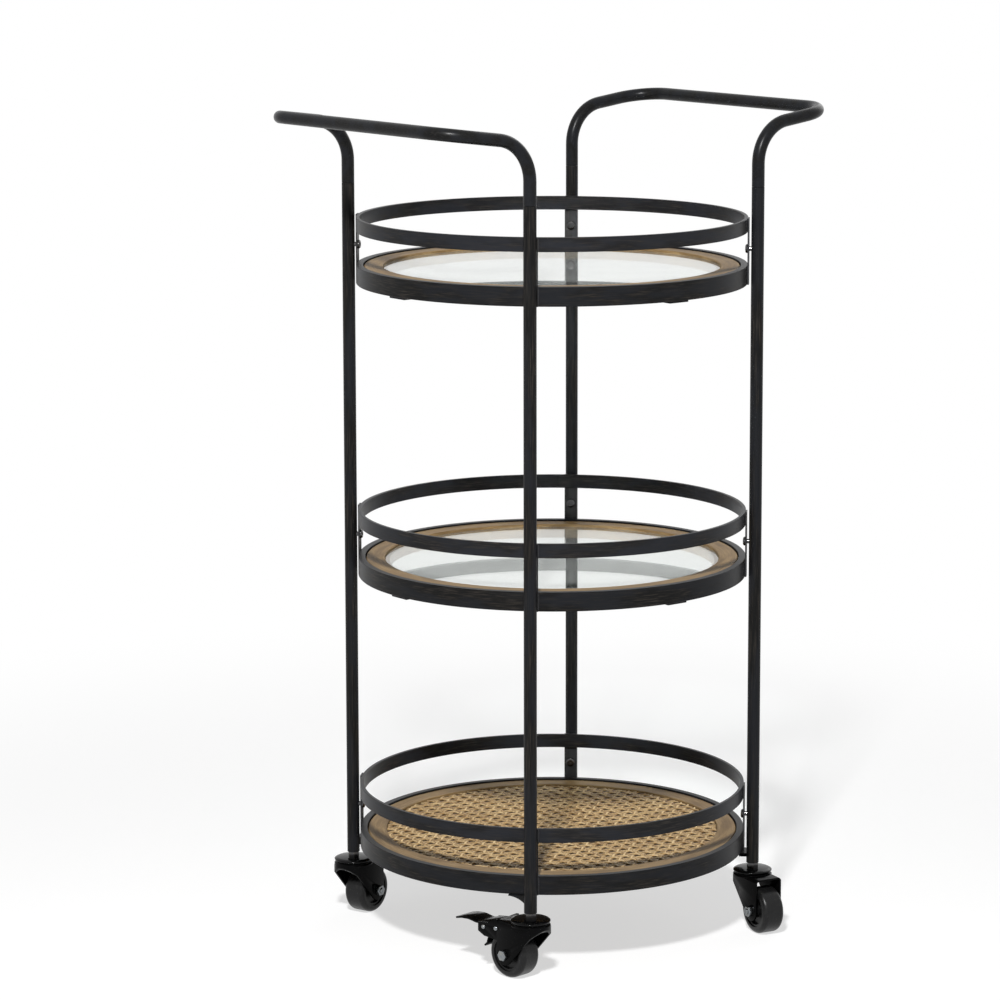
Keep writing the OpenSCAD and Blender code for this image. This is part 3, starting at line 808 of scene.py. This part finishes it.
def weigh_edges(piece: bpy.types.Object, chosen: Callable[[Vector, Vector], bool]) -> None:
    """Marks the edges that a Bevel modifier by weight rounds.

    Args:
        piece: Piece whose edges are marked.
        chosen: Test of an edge by its two ends.
    """
    weights = piece.data.attributes.new("bevel_weight_edge", "FLOAT", "EDGE")
    for edge in piece.data.edges:
        ends = [piece.data.vertices[v].co for v in edge.vertices]
        weights.data[edge.index].value = 1.0 if chosen(*ends) else 0.0


def add_bevel(piece: bpy.types.Object, limit: str, width: float, segments: int) -> bpy.types.BevelModifier:
    """Adds a Bevel modifier.

    Args:
        piece: Piece to round.
        limit: What picks the edges, WEIGHT or ANGLE.
        width: Width of the rounding, in metres.
        segments: Faces across the rounding.

    Returns:
        The modifier.
    """
    bevel = piece.modifiers.new("bevel", "BEVEL")
    bevel.limit_method = limit
    bevel.width = width
    bevel.segments = segments
    return bevel


# ---- Cane ----


@dataclass
class CaneWebbing:
    """Octagonal webbing: pairs of strands both ways, and one strand along each slant between them."""

    finishes: dict[int, bpy.types.Material]
    weave_turn: float = -9.0
    pitch: float = 13.8 * MM
    pair_gap: float = 2.9 * MM
    strand_w: float = 2.35 * MM
    slant_w: float = 2.30 * MM
    strand_t: float = 0.55 * MM
    crown: float = 0.22 * MM
    ripple: float = 0.42 * MM
    slant_ripple: float = 0.80 * MM
    rim_gap: float = 0.15 * MM
    rim_drop: float = 0.5 * MM
    rim_w: float = 4 * MM
    shake: float = 0.18 * MM
    drift: float = 0.14 * MM
    drift_turns: float = 55.0
    shortest: float = 2.5 * MM
    end_gap: float = 1.0 * MM
    phase_span: float = 6.28
    random: Random = field(default_factory=lambda: Random(11))

    def __post_init__(self) -> None:
        """Reads the panel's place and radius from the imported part."""
        low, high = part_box("cane_panel")
        self.radius = (high.x - low.x) / 2 - self.rim_gap
        self.middle_z = (low.z + high.z) / 2 - self.strand_t / 2

    def build(self) -> None:
        """Weaves the four directions, one piece each, and hides the plain panel."""
        pieces = []
        for turn in (0, 90):
            pieces.append(self.straight(turn))
        for turn in (45, -45):
            pieces.append(self.slanted(turn))
        for piece, turn in zip(pieces, (0, 90, 45, -45)):
            nodes = ("cane_panel",) if turn == 0 else ()
            finish_piece(piece, "frame", self.finishes[turn], nodes)

    def straight(self, turn: int) -> bpy.types.Object:
        """Weaves the pairs of strands that run along X or, turned, along Y.

        Args:
            turn: 0 or 90 degrees.

        Returns:
            All of those strands as one piece.
        """
        strands = []
        count = int(self.radius / self.pitch) + 1
        near = self.pair_gap / 2
        stops = (-0.5 * self.pitch, -2.6 * near, -near, 0.0, near, 2.6 * near)
        for row in range(-count, count + 1):
            for side in (-1, 1):
                height = partial(self.pair_height, side if turn == 0 else -side)
                offset = row * self.pitch + side * near
                strands.append(self.strand(turn, offset, self.strand_w, stops, self.pitch, height))
        return self.thicken([s for s in strands if s], f"cane_strands_{turn}")

    def pair_height(self, lift: int, along: float) -> float:
        """Height of a strand of a pair, which goes over one strand of each crossing pair and under the other.

        Args:
            lift: 1, or -1 to change over and under.
            along: Place along the strand.

        Returns:
            Height above the weave's middle.
        """
        near = self.pair_gap / 2
        part = (along / self.pitch + 0.5) % 1.0 * self.pitch - self.pitch / 2
        over = math.exp(-(((part - near) / near) ** 2)) - math.exp(-(((part + near) / near) ** 2))
        return self.ripple * lift * over

    def slanted(self, turn: int) -> bpy.types.Object:
        """Weaves the strands that run along one slant, over one set of pairs and under the other.

        Args:
            turn: 45 or -45 degrees.

        Returns:
            All of those strands as one piece.
        """
        strands = []
        period = self.pitch * math.sqrt(2)
        spacing = period / 2
        count = int(self.radius / spacing) + 1
        stops = tuple(period * k / 6 for k in range(6))
        lift = 1 if turn > 0 else -1
        for row in range(-count, count + 1):
            offset = (row + 0.5) * spacing
            height = partial(self.slant_height, lift, lift * offset)
            strands.append(self.strand(turn, offset, self.slant_w, stops, period, height))
        return self.thicken([s for s in strands if s], f"cane_slants_{turn % 360}")

    def slant_height(self, lift: int, shift: float, along: float) -> float:
        """Height of a slanted strand, which goes over one set of pairs and under the other.

        Args:
            lift: 1, or -1 to change over and under.
            shift: Place along the strand where it crosses the middle of a pair.
            along: Place along the strand.

        Returns:
            Height above the weave's middle.
        """
        across = (along - shift) / math.sqrt(2)
        return lift * self.slant_ripple * math.cos(2 * math.pi * across / self.pitch)

    def strand(
        self,
        turn: int,
        offset: float,
        width: float,
        stops: tuple[float, ...],
        period: float,
        height: Callable[[float], float],
    ) -> bpy.types.Object | None:
        """Lays one strand across the panel.

        Args:
            turn: Direction of the strand in degrees.
            offset: Distance of its middle line from the panel's middle.
            width: Width of the strand.
            stops: Places of its cross-sections within one period.
            period: Length after which the weave repeats.
            height: Function from the place along the strand to its height.

        Returns:
            The strand as an open sheet, or None where the panel is too short for one.
        """
        shaken = offset + self.random.uniform(-self.shake, self.shake)
        if abs(shaken) > self.radius - self.shortest:
            return None
        half = math.sqrt(self.radius**2 - shaken**2)
        reach = int(half / period) + 2
        marks = sorted(k * period + s for k in range(-reach, reach + 1) for s in stops)
        inner = [m for m in marks if abs(m) < half - self.end_gap]
        marks = [-half, *inner, half]
        heading = math.radians(turn + self.weave_turn)
        forward = Vector((math.cos(heading), math.sin(heading), 0.0))
        aside = sideways(forward)
        phase = self.random.uniform(0.0, self.phase_span)
        bpy.ops.mesh.primitive_grid_add(x_subdivisions=len(marks) - 1, y_subdivisions=2, size=2)
        sheet = bpy.context.object
        for vert in sheet.data.vertices:
            mark = marks[round((vert.co.x + 1) / 2 * (len(marks) - 1))]
            side = round(vert.co.y)
            drift = self.drift * math.sin(mark * self.drift_turns + phase)
            point = forward * mark + aside * (shaken + drift + side * width / 2)
            flat = math.hypot(point.x, point.y)
            if flat > self.radius:
                point *= self.radius / flat
            close = max(0.0, 1.0 - (self.radius - flat) / self.rim_w)
            point.z = self.middle_z + height(mark) - self.rim_drop * close + (0.0 if side else self.crown)
            vert.co = point
        return sheet

    def thicken(self, strands: list[bpy.types.Object], name: str) -> bpy.types.Object:
        """Joins flat strands and gives them their thickness.

        Args:
            strands: Open sheets.
            name: Name of the piece.

        Returns:
            The closed piece.
        """
        piece = join_pieces(strands, name)
        solid = piece.modifiers.new("thickness", "SOLIDIFY")
        solid.thickness = self.strand_t
        solid.offset = -1.0
        apply_modifiers(piece)
        smooth(piece, 50.0)
        return piece


# ---- Fasteners and welds ----


class Recess(Enum):
    """Ways in which a screw's head is hollowed for its driver."""

    CROSS = "cross"
    HEX = "hex"


@dataclass
class RoundHeadScrew:
    """Round-headed screw with a recess, as a pattern that is copied to each hole."""

    head_r: float
    head_h: float
    shank_r: float
    shank_l: float
    recess: Recess
    recess_r: float
    recess_w: float = 0.8 * MM
    crown: float = 0.7
    slot_depth: float = 1.3
    slot_taper: tuple[float, float] = (0.45, 0.7)
    hex_depth: float = 1.7

    def pattern(self) -> bpy.types.Object:
        """Makes one screw whose head stands on the origin and faces +Z.

        Returns:
            The screw, with its shank below the origin.
        """
        deselect()
        bpy.ops.mesh.primitive_cylinder_add(
            vertices=32, radius=self.head_r, depth=self.head_h, location=(0, 0, self.head_h / 2)
        )
        screw = bpy.context.object
        place_mesh(screw, Matrix.Identity(4))
        self.draw_shank(screw)
        weigh_edges(screw, lambda a, b: min(a.z, b.z) > self.head_h / 2)
        add_bevel(screw, "WEIGHT", self.head_h * self.crown, 4)
        apply_modifiers(screw)
        if self.recess is Recess.HEX:
            self.cut(screw, self.hex_bar())
        else:
            for turn in (0.0, math.pi / 2):
                self.cut(screw, self.slot_bar(turn))
        smooth(screw, 40.0)
        return screw

    def draw_shank(self, screw: bpy.types.Object) -> None:
        """Draws the shank and its point out of the head's flat side.

        Args:
            screw: The plain head, standing on the origin.
        """
        bpy.context.tool_settings.mesh_select_mode = (False, False, True)
        for face in screw.data.polygons:
            face.select = face.normal.z < -0.9
        choose(screw)
        bpy.ops.object.mode_set(mode="EDIT")
        bpy.ops.mesh.inset(thickness=self.head_r - self.shank_r)
        pointed = self.recess is Recess.CROSS
        point_l = (2 if pointed else 0.3) * self.shank_r
        bpy.ops.mesh.extrude_region_move(TRANSFORM_OT_translate={"value": (0, 0, point_l - self.shank_l)})
        bpy.ops.mesh.extrude_region_move(TRANSFORM_OT_translate={"value": (0, 0, -point_l)})
        narrow = 0.3 if pointed else 0.7
        bpy.ops.transform.resize(value=(narrow, narrow, 1.0), center_override=(0, 0, -self.shank_l))
        bpy.ops.object.mode_set(mode="OBJECT")

    def slot_bar(self, turn: float) -> bpy.types.Object:
        """Makes one bar of the cross, tapered towards its floor.

        Args:
            turn: Angle of the bar about Z.

        Returns:
            The bar, standing in the head's top.
        """
        deselect()
        bpy.ops.mesh.primitive_cube_add(size=1, location=(0, 0, self.head_h))
        bar = bpy.context.object
        for vert in bar.data.vertices:
            narrow = self.slot_taper if vert.co.z < 0 else (1.0, 1.0)
            vert.co.x *= 2 * self.recess_r * narrow[0]
            vert.co.y *= self.recess_w * narrow[1]
            vert.co.z *= self.head_h * self.slot_depth
        bar.data.transform(Matrix.Rotation(turn, 4, "Z"))
        return bar

    def hex_bar(self) -> bpy.types.Object:
        """Makes the hexagon that hollows a socket head nearly down to its seat.

        Returns:
            The hexagon, standing in the head's top.
        """
        deselect()
        depth = self.head_h * self.hex_depth
        bpy.ops.mesh.primitive_cylinder_add(
            vertices=6, radius=self.recess_r, depth=depth, location=(0, 0, self.head_h)
        )
        return bpy.context.object

    @staticmethod
    def cut(screw: bpy.types.Object, bar: bpy.types.Object) -> None:
        """Cuts a bar out of the screw and removes the bar.

        Args:
            screw: Screw that is hollowed.
            bar: Shape of the hollow.
        """
        hollow = screw.modifiers.new("recess", "BOOLEAN")
        hollow.object = bar
        hollow.operation = "DIFFERENCE"
        hollow.solver = "EXACT"
        apply_modifiers(screw)
        bpy.data.objects.remove(bar)


def copies_at(pattern: bpy.types.Object, places: list[Matrix], name: str) -> bpy.types.Object:
    """Copies a pattern to several places as one piece, and removes the pattern.

    Args:
        pattern: Mesh at the origin.
        places: Place of each copy.
        name: Name of the joined piece.

    Returns:
        The joined piece.
    """
    made = []
    for place in places:
        twin = bpy.data.objects.new(name, pattern.data.copy())
        bpy.context.scene.collection.objects.link(twin)
        twin.data.transform(place)
        made.append(twin)
    bpy.data.objects.remove(pattern)
    return join_pieces(made, name)


def facing(place: Vector, direction: Vector, spin: float) -> Matrix:
    """Place of a pattern that stands on a point and faces a direction.

    Args:
        place: Point it stands on.
        direction: Direction of its +Z.
        spin: Turn about that direction, in radians.

    Returns:
        Matrix that moves the pattern there.
    """
    turn = direction.to_track_quat("Z", "Y").to_matrix().to_4x4()
    return Matrix.Translation(place) @ turn @ Matrix.Rotation(spin, 4, "Z")


@dataclass
class TrayTabs:
    """The four tabs under each tray, with rounded inner corners and a straight welded end."""

    finish: bpy.types.Material
    thickness: float = 2.0 * MM
    corner_r: float = 5.0 * MM
    ease: float = 0.4 * MM
    weld_inset: dict[Level, float] = field(
        default_factory=lambda: {Level.TOP: 0.8 * MM, Level.MIDDLE: 1.2 * MM, Level.BOTTOM: 5.0 * MM}
    )

    def build(self) -> None:
        """Makes the tabs of every tray again, one piece for each tray."""
        for level in Level:
            node = f"{level.value}_tray_tabs"
            islands = solids(node)
            ways = [outward(island) for island in islands]
            inner, outer = span(islands[0], ways[0])
            half = span(islands[0], sideways(ways[0]))[1]
            pattern = self.pattern(inner, outer - self.weld_inset[level], 2 * half)
            lift = Matrix.Translation((0, 0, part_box(node)[1].z))
            places = [lift @ Matrix.Rotation(math.atan2(way.y, way.x), 4, "Z") for way in ways]
            tabs = copies_at(pattern, places, f"{level.value}_tabs_rounded")
            finish_piece(tabs, "frame", self.finish, (node,))

    def pattern(self, inner: float, outer: float, width: float) -> bpy.types.Object:
        """Makes one tab along X, with its upper side at the origin's height.

        Args:
            inner: Distance of its free end from the axis.
            outer: Distance of its welded end.
            width: Width.

        Returns:
            The tab.
        """
        deselect()
        bpy.ops.mesh.primitive_cube_add(size=1)
        tab = bpy.context.object
        for vert in tab.data.vertices:
            vert.co.x = inner if vert.co.x < 0 else outer
            vert.co.y *= width
            vert.co.z = 0.0 if vert.co.z > 0 else -self.thickness
        middle = (inner + outer) / 2
        weigh_edges(tab, lambda a, b: abs(a.z - b.z) > self.thickness / 2 and a.x < middle)
        add_bevel(tab, "WEIGHT", self.corner_r, 5)
        rim = add_bevel(tab, "ANGLE", self.ease, 2)
        rim.angle_limit = math.radians(60)
        apply_modifiers(tab)
        smooth(tab, 40.0)
        return tab


@dataclass
class RingScrews:
    """The twelve screws that go up through the tabs into the wood rings."""

    finish: bpy.types.Material
    head_r: float = 3.0 * MM
    head_h: float = 1.4 * MM
    shank_r: float = 1.5 * MM
    raised: float = 1.0 * MM
    cross_r: float = 1.7 * MM
    seat_band: float = 0.5 * MM
    spin: float = 1.5
    random: Random = field(default_factory=lambda: Random(5))

    def build(self) -> None:
        """Makes the screws again with cross-recessed heads and pointed shanks."""
        islands = solids("wood_screws")
        low, high = span(islands[0], UP)
        shank_l = high - low - self.head_h - self.raised
        screw = RoundHeadScrew(self.head_r, self.head_h, self.shank_r, shank_l, Recess.CROSS, self.cross_r)
        places = []
        for island in islands:
            low = span(island, UP)[0]
            head = [p for p in island if p.z < low + self.seat_band]
            seat = sum(head, Vector()) / len(head)
            seat.z = low + self.head_h + self.raised
            places.append(facing(seat, -UP, self.random.uniform(0, self.spin)))
        screws = copies_at(screw.pattern(), places, "ring_screws")
        finish_piece(screws, "frame", self.finish, ("wood_screws",))


@dataclass
class StrapScrews:
    """The twelve round-headed socket screws that hold the straps to the legs."""

    finish: bpy.types.Material
    head_h: float = 2.8 * MM
    shank_r: float = 2.5 * MM
    socket_r: float = 2.4 * MM
    spin: float = 1.0
    random: Random = field(default_factory=lambda: Random(8))

    def build(self) -> None:
        """Makes the screws again with domed heads that face the cart's axis."""
        places = []
        islands = solids("strap_screws")
        for island in islands:
            low, high = span(island, UP)
            near, far = span(island, outward(island))
            seat = outward(island) * (near + self.head_h) + UP * ((low + high) / 2)
            places.append(facing(seat, -outward(island), self.random.uniform(0, self.spin)))
        head_r, shank_l = (high - low) / 2, far - near - self.head_h
        screw = RoundHeadScrew(head_r, self.head_h, self.shank_r, shank_l, Recess.HEX, self.socket_r)
        screws = copies_at(screw.pattern(), places, "strap_screws_domed")
        finish_piece(screws, "frame", self.finish, ("strap_screws",))


@dataclass
class StrapWelds:
    """Small lumpy weld beads where each strap meets its rail and its hoop."""

    finish: bpy.types.Material
    bead_r: float = 0.85 * MM
    lumps: int = 9
    end_gap: float = 1.2 * MM
    aside: float = 0.25 * MM
    proud: float = 0.1 * MM
    lump_share: tuple[float, float] = (0.75, 1.15)
    end_share: float = 0.45
    end_band: float = 0.1 * MM
    random: Random = field(default_factory=lambda: Random(3))

    def build(self) -> None:
        """Lays two beads at each rail and two at each hoop."""
        beads = []
        for level in Level:
            straps = solids(f"{level.value}_straps")
            for ring in (f"{level.value}_guard_rail", f"{level.value}_tray_hoop"):
                low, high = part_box(ring)
                for strap in straps:
                    beads.extend(self.beads_at(strap, high.x, low.z + self.end_gap, high.z - self.end_gap))
        piece = join_pieces(beads, "strap_welds")
        smooth(piece, 60.0)
        finish_piece(piece, "frame", self.finish)

    def beads_at(self, strap: list[Vector], ring_r: float, low: float, high: float) -> list[bpy.types.Object]:
        """Makes the two upright beads along a strap's edges.

        Args:
            strap: Corners of the strap.
            ring_r: Outer radius of the ring it stands on.
            low: Lower end of the beads.
            high: Upper end of the beads.

        Returns:
            Both beads.
        """
        ahead = outward(strap)
        half = span(strap, sideways(ahead))[1]
        made = []
        for side in (-1, 1):
            turn = side * (half + self.aside) / ring_r
            foot = (Matrix.Rotation(turn, 3, "Z") @ ahead) * (ring_r + self.proud)
            made.append(self.bead(foot, low, high))
        return made

    def bead(self, foot: Vector, low: float, high: float) -> bpy.types.Object:
        """Makes one upright bead whose thickness rises and falls.

        Args:
            foot: Point below the bead, with any height.
            low: Lower end.
            high: Upper end.

        Returns:
            The bead.
        """
        deselect()
        bpy.ops.mesh.primitive_cylinder_add(vertices=10, radius=self.bead_r, depth=high - low)
        bead = bpy.context.object
        bpy.ops.object.mode_set(mode="EDIT")
        for share in (0.5, *(k / self.lumps for k in range(1, self.lumps))):
            bpy.ops.mesh.select_all(action="SELECT")
            bpy.ops.mesh.bisect(plane_co=(0, 0, (high - low) * (share - 0.5)), plane_no=(0, 0, 1))
        bpy.ops.object.mode_set(mode="OBJECT")
        swell = {}
        for vert in bead.data.vertices:
            row = round(vert.co.z, 5)
            swell.setdefault(row, self.random.uniform(*self.lump_share))
            end = abs(vert.co.z) > (high - low) / 2 - self.end_band
            factor = self.end_share if end else swell[row]
            vert.co.x *= factor
            vert.co.y *= factor
        place_mesh(bead, Matrix.Translation((foot.x, foot.y, (low + high) / 2)))
        return bead


# ---- Sheet metal, tyres and the rest ----


@dataclass
class Caster:
    """One swivel caster's sheet metal, bolt, nut and rivets, with their edges eased."""

    corner: Corner
    enamel: bpy.types.Material
    zinc: bpy.types.Material
    sheet_ease: float = 0.35 * MM
    bolt_ease: float = 0.3 * MM

    def build(self) -> None:
        """Makes the caster's pieces again with rounded edges."""
        self.eased("fork", "caster", self.enamel, self.sheet_ease)
        self.eased("axle_bolt", "caster", self.zinc, self.bolt_ease)
        self.eased("axle_nut", "caster", self.zinc, self.bolt_ease)
        if self.corner in BRAKED:
            self.eased("brake_pedal", "brake", self.enamel, self.sheet_ease)
            self.eased("brake_shoe", "brake", self.enamel, self.sheet_ease)
            self.eased("brake_rivets", "caster", self.zinc, self.bolt_ease)

    def eased(self, part: str, body: str, finish: bpy.types.Material, width: float) -> None:
        """Makes one of the caster's nodes again with rounded edges.

        Args:
            part: Last words of the node's name.
            body: Last word of its body's name.
            finish: Material.
            width: Width of the rounding.
        """
        node = f"{self.corner.value}_{part}"
        piece = eased_copy(node, f"{node}_eased", width)
        finish_piece(piece, f"{self.corner.value}_{body}", finish, (node,))


@dataclass
class UpperRaces:
    """The four pressed cups on top of the casters, with rolled rims."""

    finish: bpy.types.Material
    ease: float = 0.35 * MM
    sharp: float = 12.0

    def build(self) -> None:
        """Makes the cups again with every ridge rounded."""
        cups = eased_copy("upper_races", "upper_races_rolled", self.ease, self.sharp)
        finish_piece(cups, "frame", self.finish, ("upper_races",))


@dataclass
class Frame:
    """Tubes, rings, straps, wood, glass, board and wheels: CAD nodes that keep their shapes."""

    finishes: dict[str, bpy.types.Material]

    def build(self) -> None:
        """Gives every carried-over CAD node its finish."""
        for node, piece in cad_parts.items():
            if piece.hide_render:
                continue
            finish = self.finish_of(node)
            dress(piece, self.finishes[finish])
            log.info("%s: %s", node, finish)

    @staticmethod
    def finish_of(node: str) -> str:
        """Name of the finish that a CAD node takes.

        Args:
            node: Name of the node.

        Returns:
            Key of the finish.
        """
        for words, finish in (
            (("glass",), "glass"),
            (("wood_ring",), "wood"),
            (("backing_board",), "board"),
            (("bottom_tray_hoop",), "hoop_seamed"),
            (("tray_hoop",), "hoop"),
            (("middle_guard_rail",), "rail_seamed"),
            (("guard_rail",), "rail"),
            (("_leg",), "leg"),
            (("straps",), "strap"),
            (("spigots",), "dark_steel"),
            (("sockets", "stems"), "dark_plate"),
            (("balls",), "zinc"),
            (("tyre",), "rubber"),
            (("core",), "plastic"),
        ):
            if any(word in node for word in words):
                return finish
        return "handle"


# ---- Studio ----


@dataclass
class Studio:
    """Plain pale floor, a lamp in front, a weaker one behind, and a long-lens camera."""

    view_azimuth: float = -39.163
    distance: float = 4.1132
    height: float = 1.21099
    tilt_down: float = 9.242
    lens: float = 140.27
    sensor_w: float = 36.0
    sight: float = 60.0
    shift: tuple[float, float] = (-0.0520, -0.0695)
    key_azimuth: float = -45.0
    key_elevation: float = 38.5
    key_size: float = 0.26
    key_power: float = 134.0
    rim_turn: float = 150.0
    rim_elevation: float = 28.0
    rim_size: float = 1.8
    rim_power: float = 14.0
    lamp_distance: float = 3.2
    aim: Vector = field(default_factory=lambda: 0.45 * UP)
    even_light: float = 0.11
    floor_r: float = 14.0
    floor_dark: Colour = (0.83, 0.83, 0.83)
    floor_light: Colour = (0.86, 0.86, 0.86)
    floor_seen: Colour = (0.42, 0.42, 0.42)
    floor_lift: float = 0.62
    fade_start: float = 0.35
    fade_end: float = 1.6

    def build(self) -> None:
        """Makes the floor, the lamps, the world and the camera."""
        self.floor()
        self.world()
        self.lamps()
        self.camera()
        bpy.context.scene.view_settings.view_transform = "Standard"

    def camera(self) -> None:
        """Places the camera."""
        data = bpy.data.cameras.new("camera")
        data.sensor_width = self.sensor_w
        data.lens = self.lens
        data.shift_x, data.shift_y = self.shift
        data.clip_end = self.sight
        camera = bpy.data.objects.new("camera", data)
        bpy.context.scene.collection.objects.link(camera)
        turn = math.radians(self.view_azimuth)
        camera.location = (self.distance * math.sin(turn), -self.distance * math.cos(turn), self.height)
        camera.rotation_euler = (math.radians(90 - self.tilt_down), 0.0, turn)
        bpy.context.scene.camera = camera

    def floor(self) -> None:
        """Lays a pale floor that fades into the white surroundings."""
        deselect()
        bpy.ops.mesh.primitive_circle_add(vertices=96, radius=self.floor_r, fill_type="NGON")
        floor = bpy.context.object
        floor.name = "floor"
        shade = Shade("pale_floor")
        seen = shade.seen()
        speckle = shade.noise(shade.place, scale=6.0, detail=3.0)
        tone = shade.mix(speckle, self.floor_dark, self.floor_light)
        tone = shade.mix(seen, tone, self.floor_seen)
        shade.surface(Base_Color=tone, Roughness=0.9, Specular_IOR_Level=0.0, Emission_Color=WHITE)
        shade.join(shade.combine("MULTIPLY", seen, self.floor_lift), shade.shader.inputs["Emission Strength"])
        reach = shade.vector("LENGTH", {0: shade.place}).outputs["Value"]
        share = shade.combine("MULTIPLY", seen, shade.map_range(reach, self.fade_start, self.fade_end))
        white = shade.feed(shade.add("ShaderNodeEmission"), {"Color": WHITE, "Strength": 1.0})
        faded = shade.blended(share, shade.shader.outputs[0], white.outputs[0])
        shade.join(faded, shade.output.inputs["Surface"])
        dress(floor, shade.material)

    def world(self) -> None:
        """Surrounds the cart with even light that looks white where it is seen."""
        world = bpy.data.worlds.new("studio")
        bpy.context.scene.world = world
        world.use_nodes = True
        nodes = Nodes(world.node_tree)
        light, white = (
            nodes.feed(nodes.add("ShaderNodeBackground"), {"Color": WHITE, "Strength": strength}).outputs[0]
            for strength in (self.even_light, 1.0)
        )
        output = nodes.add("ShaderNodeOutputWorld")
        nodes.join(nodes.blended(nodes.seen(), light, white), output.inputs["Surface"])

    def lamps(self) -> None:
        """Hangs the key lamp in front and a weaker one behind."""
        self.lamp("key", self.key_azimuth, self.key_elevation, self.key_size, self.key_power)
        self.lamp("rim", self.view_azimuth + self.rim_turn, self.rim_elevation, self.rim_size, self.rim_power)

    def lamp(self, name: str, azimuth: float, elevation: float, size: float, power: float) -> None:
        """Hangs one square lamp that points at the middle of the cart.

        Args:
            name: Name of the lamp.
            azimuth: Direction it stands in; 0 is in front, at -Y.
            elevation: Angle above the horizon.
            size: Length of its side.
            power: Power in watts.
        """
        data = bpy.data.lights.new(name, "AREA")
        data.shape = "SQUARE"
        data.size = size
        data.energy = power
        lamp = bpy.data.objects.new(name, data)
        bpy.context.scene.collection.objects.link(lamp)
        a, e = math.radians(azimuth), math.radians(elevation)
        back = Vector((math.sin(a) * math.cos(e), -math.cos(a) * math.cos(e), math.sin(e)))
        lamp.location = self.aim + back * self.lamp_distance
        lamp.rotation_mode = "QUATERNION"
        lamp.rotation_quaternion = back.to_track_quat("Z", "Y")


def frame_finishes() -> dict[str, bpy.types.Material]:
    """Makes the finishes of the frame, the fasteners and the casters.

    Returns:
        Materials by the names that the classes use.
    """
    drawn_tube = {
        "base": (0.0058, 0.0058, 0.0057),
        "warm": (0.0130, 0.0122, 0.0114),
        "rough": 0.22,
        "gloss": 0.105,
        "relief": 0.02 * MM,
    }
    rail_bar = {
        "base": (0.0086, 0.0086, 0.0092),
        "warm": (0.0310, 0.0270, 0.0240),
        "cool": (0.0130, 0.0140, 0.0172),
        "gloss": 0.10,
    }
    # Straps: the legs' black lacquer painted lighter, a painted light from the key lamp falling on their
    # faces.
    strap_bar_painted_light = {
        "base": (0.0230, 0.0230, 0.0240),
        "warm": (0.0460, 0.0430, 0.0400),
        "cool": (0.0300, 0.0310, 0.0340),
        "gloss": 0.12,
    }
    finishes = {
        "handle": FrameLacquer("lacquer_handle", **drawn_tube),
        "leg": FrameLacquer("lacquer_leg", Run.UPRIGHT),
        "strap": FrameLacquer("lacquer_strap_painted_light", Run.UPRIGHT, **strap_bar_painted_light),
        "hoop": FrameLacquer("lacquer_hoop", Run.ROUND),
        "hoop_seamed": FrameLacquer("lacquer_hoop_seamed", Run.ROUND, seam_turn=-38.0),
        "rail": FrameLacquer("lacquer_rail", Run.ROUND, **rail_bar),
        "rail_seamed": FrameLacquer("lacquer_rail_seamed", Run.ROUND, **rail_bar, seam_turn=49.0),
        "enamel": CasterEnamel(),
        "race": CasterEnamel("race_enamel", rough=0.03, gloss=0.12),
        "zinc": Plating(),
        "dark_steel": Plating("dark_steel", (0.020, 0.020, 0.021), (0.045, 0.040, 0.034), 0.42),
        "dark_plate": Plating("dark_plate", (0.066, 0.066, 0.070), (0.100, 0.094, 0.082), 0.14),
        "blackened": Plating("blackened_steel", (0.080, 0.080, 0.084), (0.120, 0.114, 0.104), 0.13),
        "rubber": HardRubber(),
        "plastic": MouldedPlastic(),
        "wood": BentWood(),
        "board": Backing(),
        "glass": FloatGlass(),
    }
    return {name: finish.build() for name, finish in finishes.items()}


def cane_finishes() -> dict[int, bpy.types.Material]:
    """Makes the finish of each direction of the cane. The slanted strands are paler: a painted highlight.

    Returns:
        Materials by the strands' direction in degrees.
    """
    # The slanted strands lie on top and catch the key lamp: their paler tones are a painted highlight on the
    # same cane.
    pale = {"base": (0.375, 0.240, 0.102), "light": (0.620, 0.460, 0.245), "dark": (0.190, 0.100, 0.038)}
    finishes = {}
    for turn, tones in ((0, {}), (90, {}), (45, pale), (-45, pale)):
        cane = SplitCane(f"split_cane_{turn % 360}", turn + CaneWebbing.weave_turn, **tones)
        finishes[turn] = cane.build()
    return finishes


def main() -> None:
    """Builds the cart's pieces, then the studio."""
    logging.basicConfig(level=logging.INFO, format="%(name)s: %(message)s")
    finishes = frame_finishes()
    cane = cane_finishes()
    CaneWebbing(cane).build()
    TrayTabs(finishes["handle"]).build()
    RingScrews(finishes["zinc"]).build()
    StrapScrews(finishes["blackened"]).build()
    # The welds share the straps' lacquer and its painted light.
    StrapWelds(finishes["strap"]).build()
    for corner in Corner:
        Caster(corner, finishes["enamel"], finishes["zinc"]).build()
    UpperRaces(finishes["race"]).build()
    Frame(finishes).build()
    Studio().build()


if __name__ == "__main__":
    main()
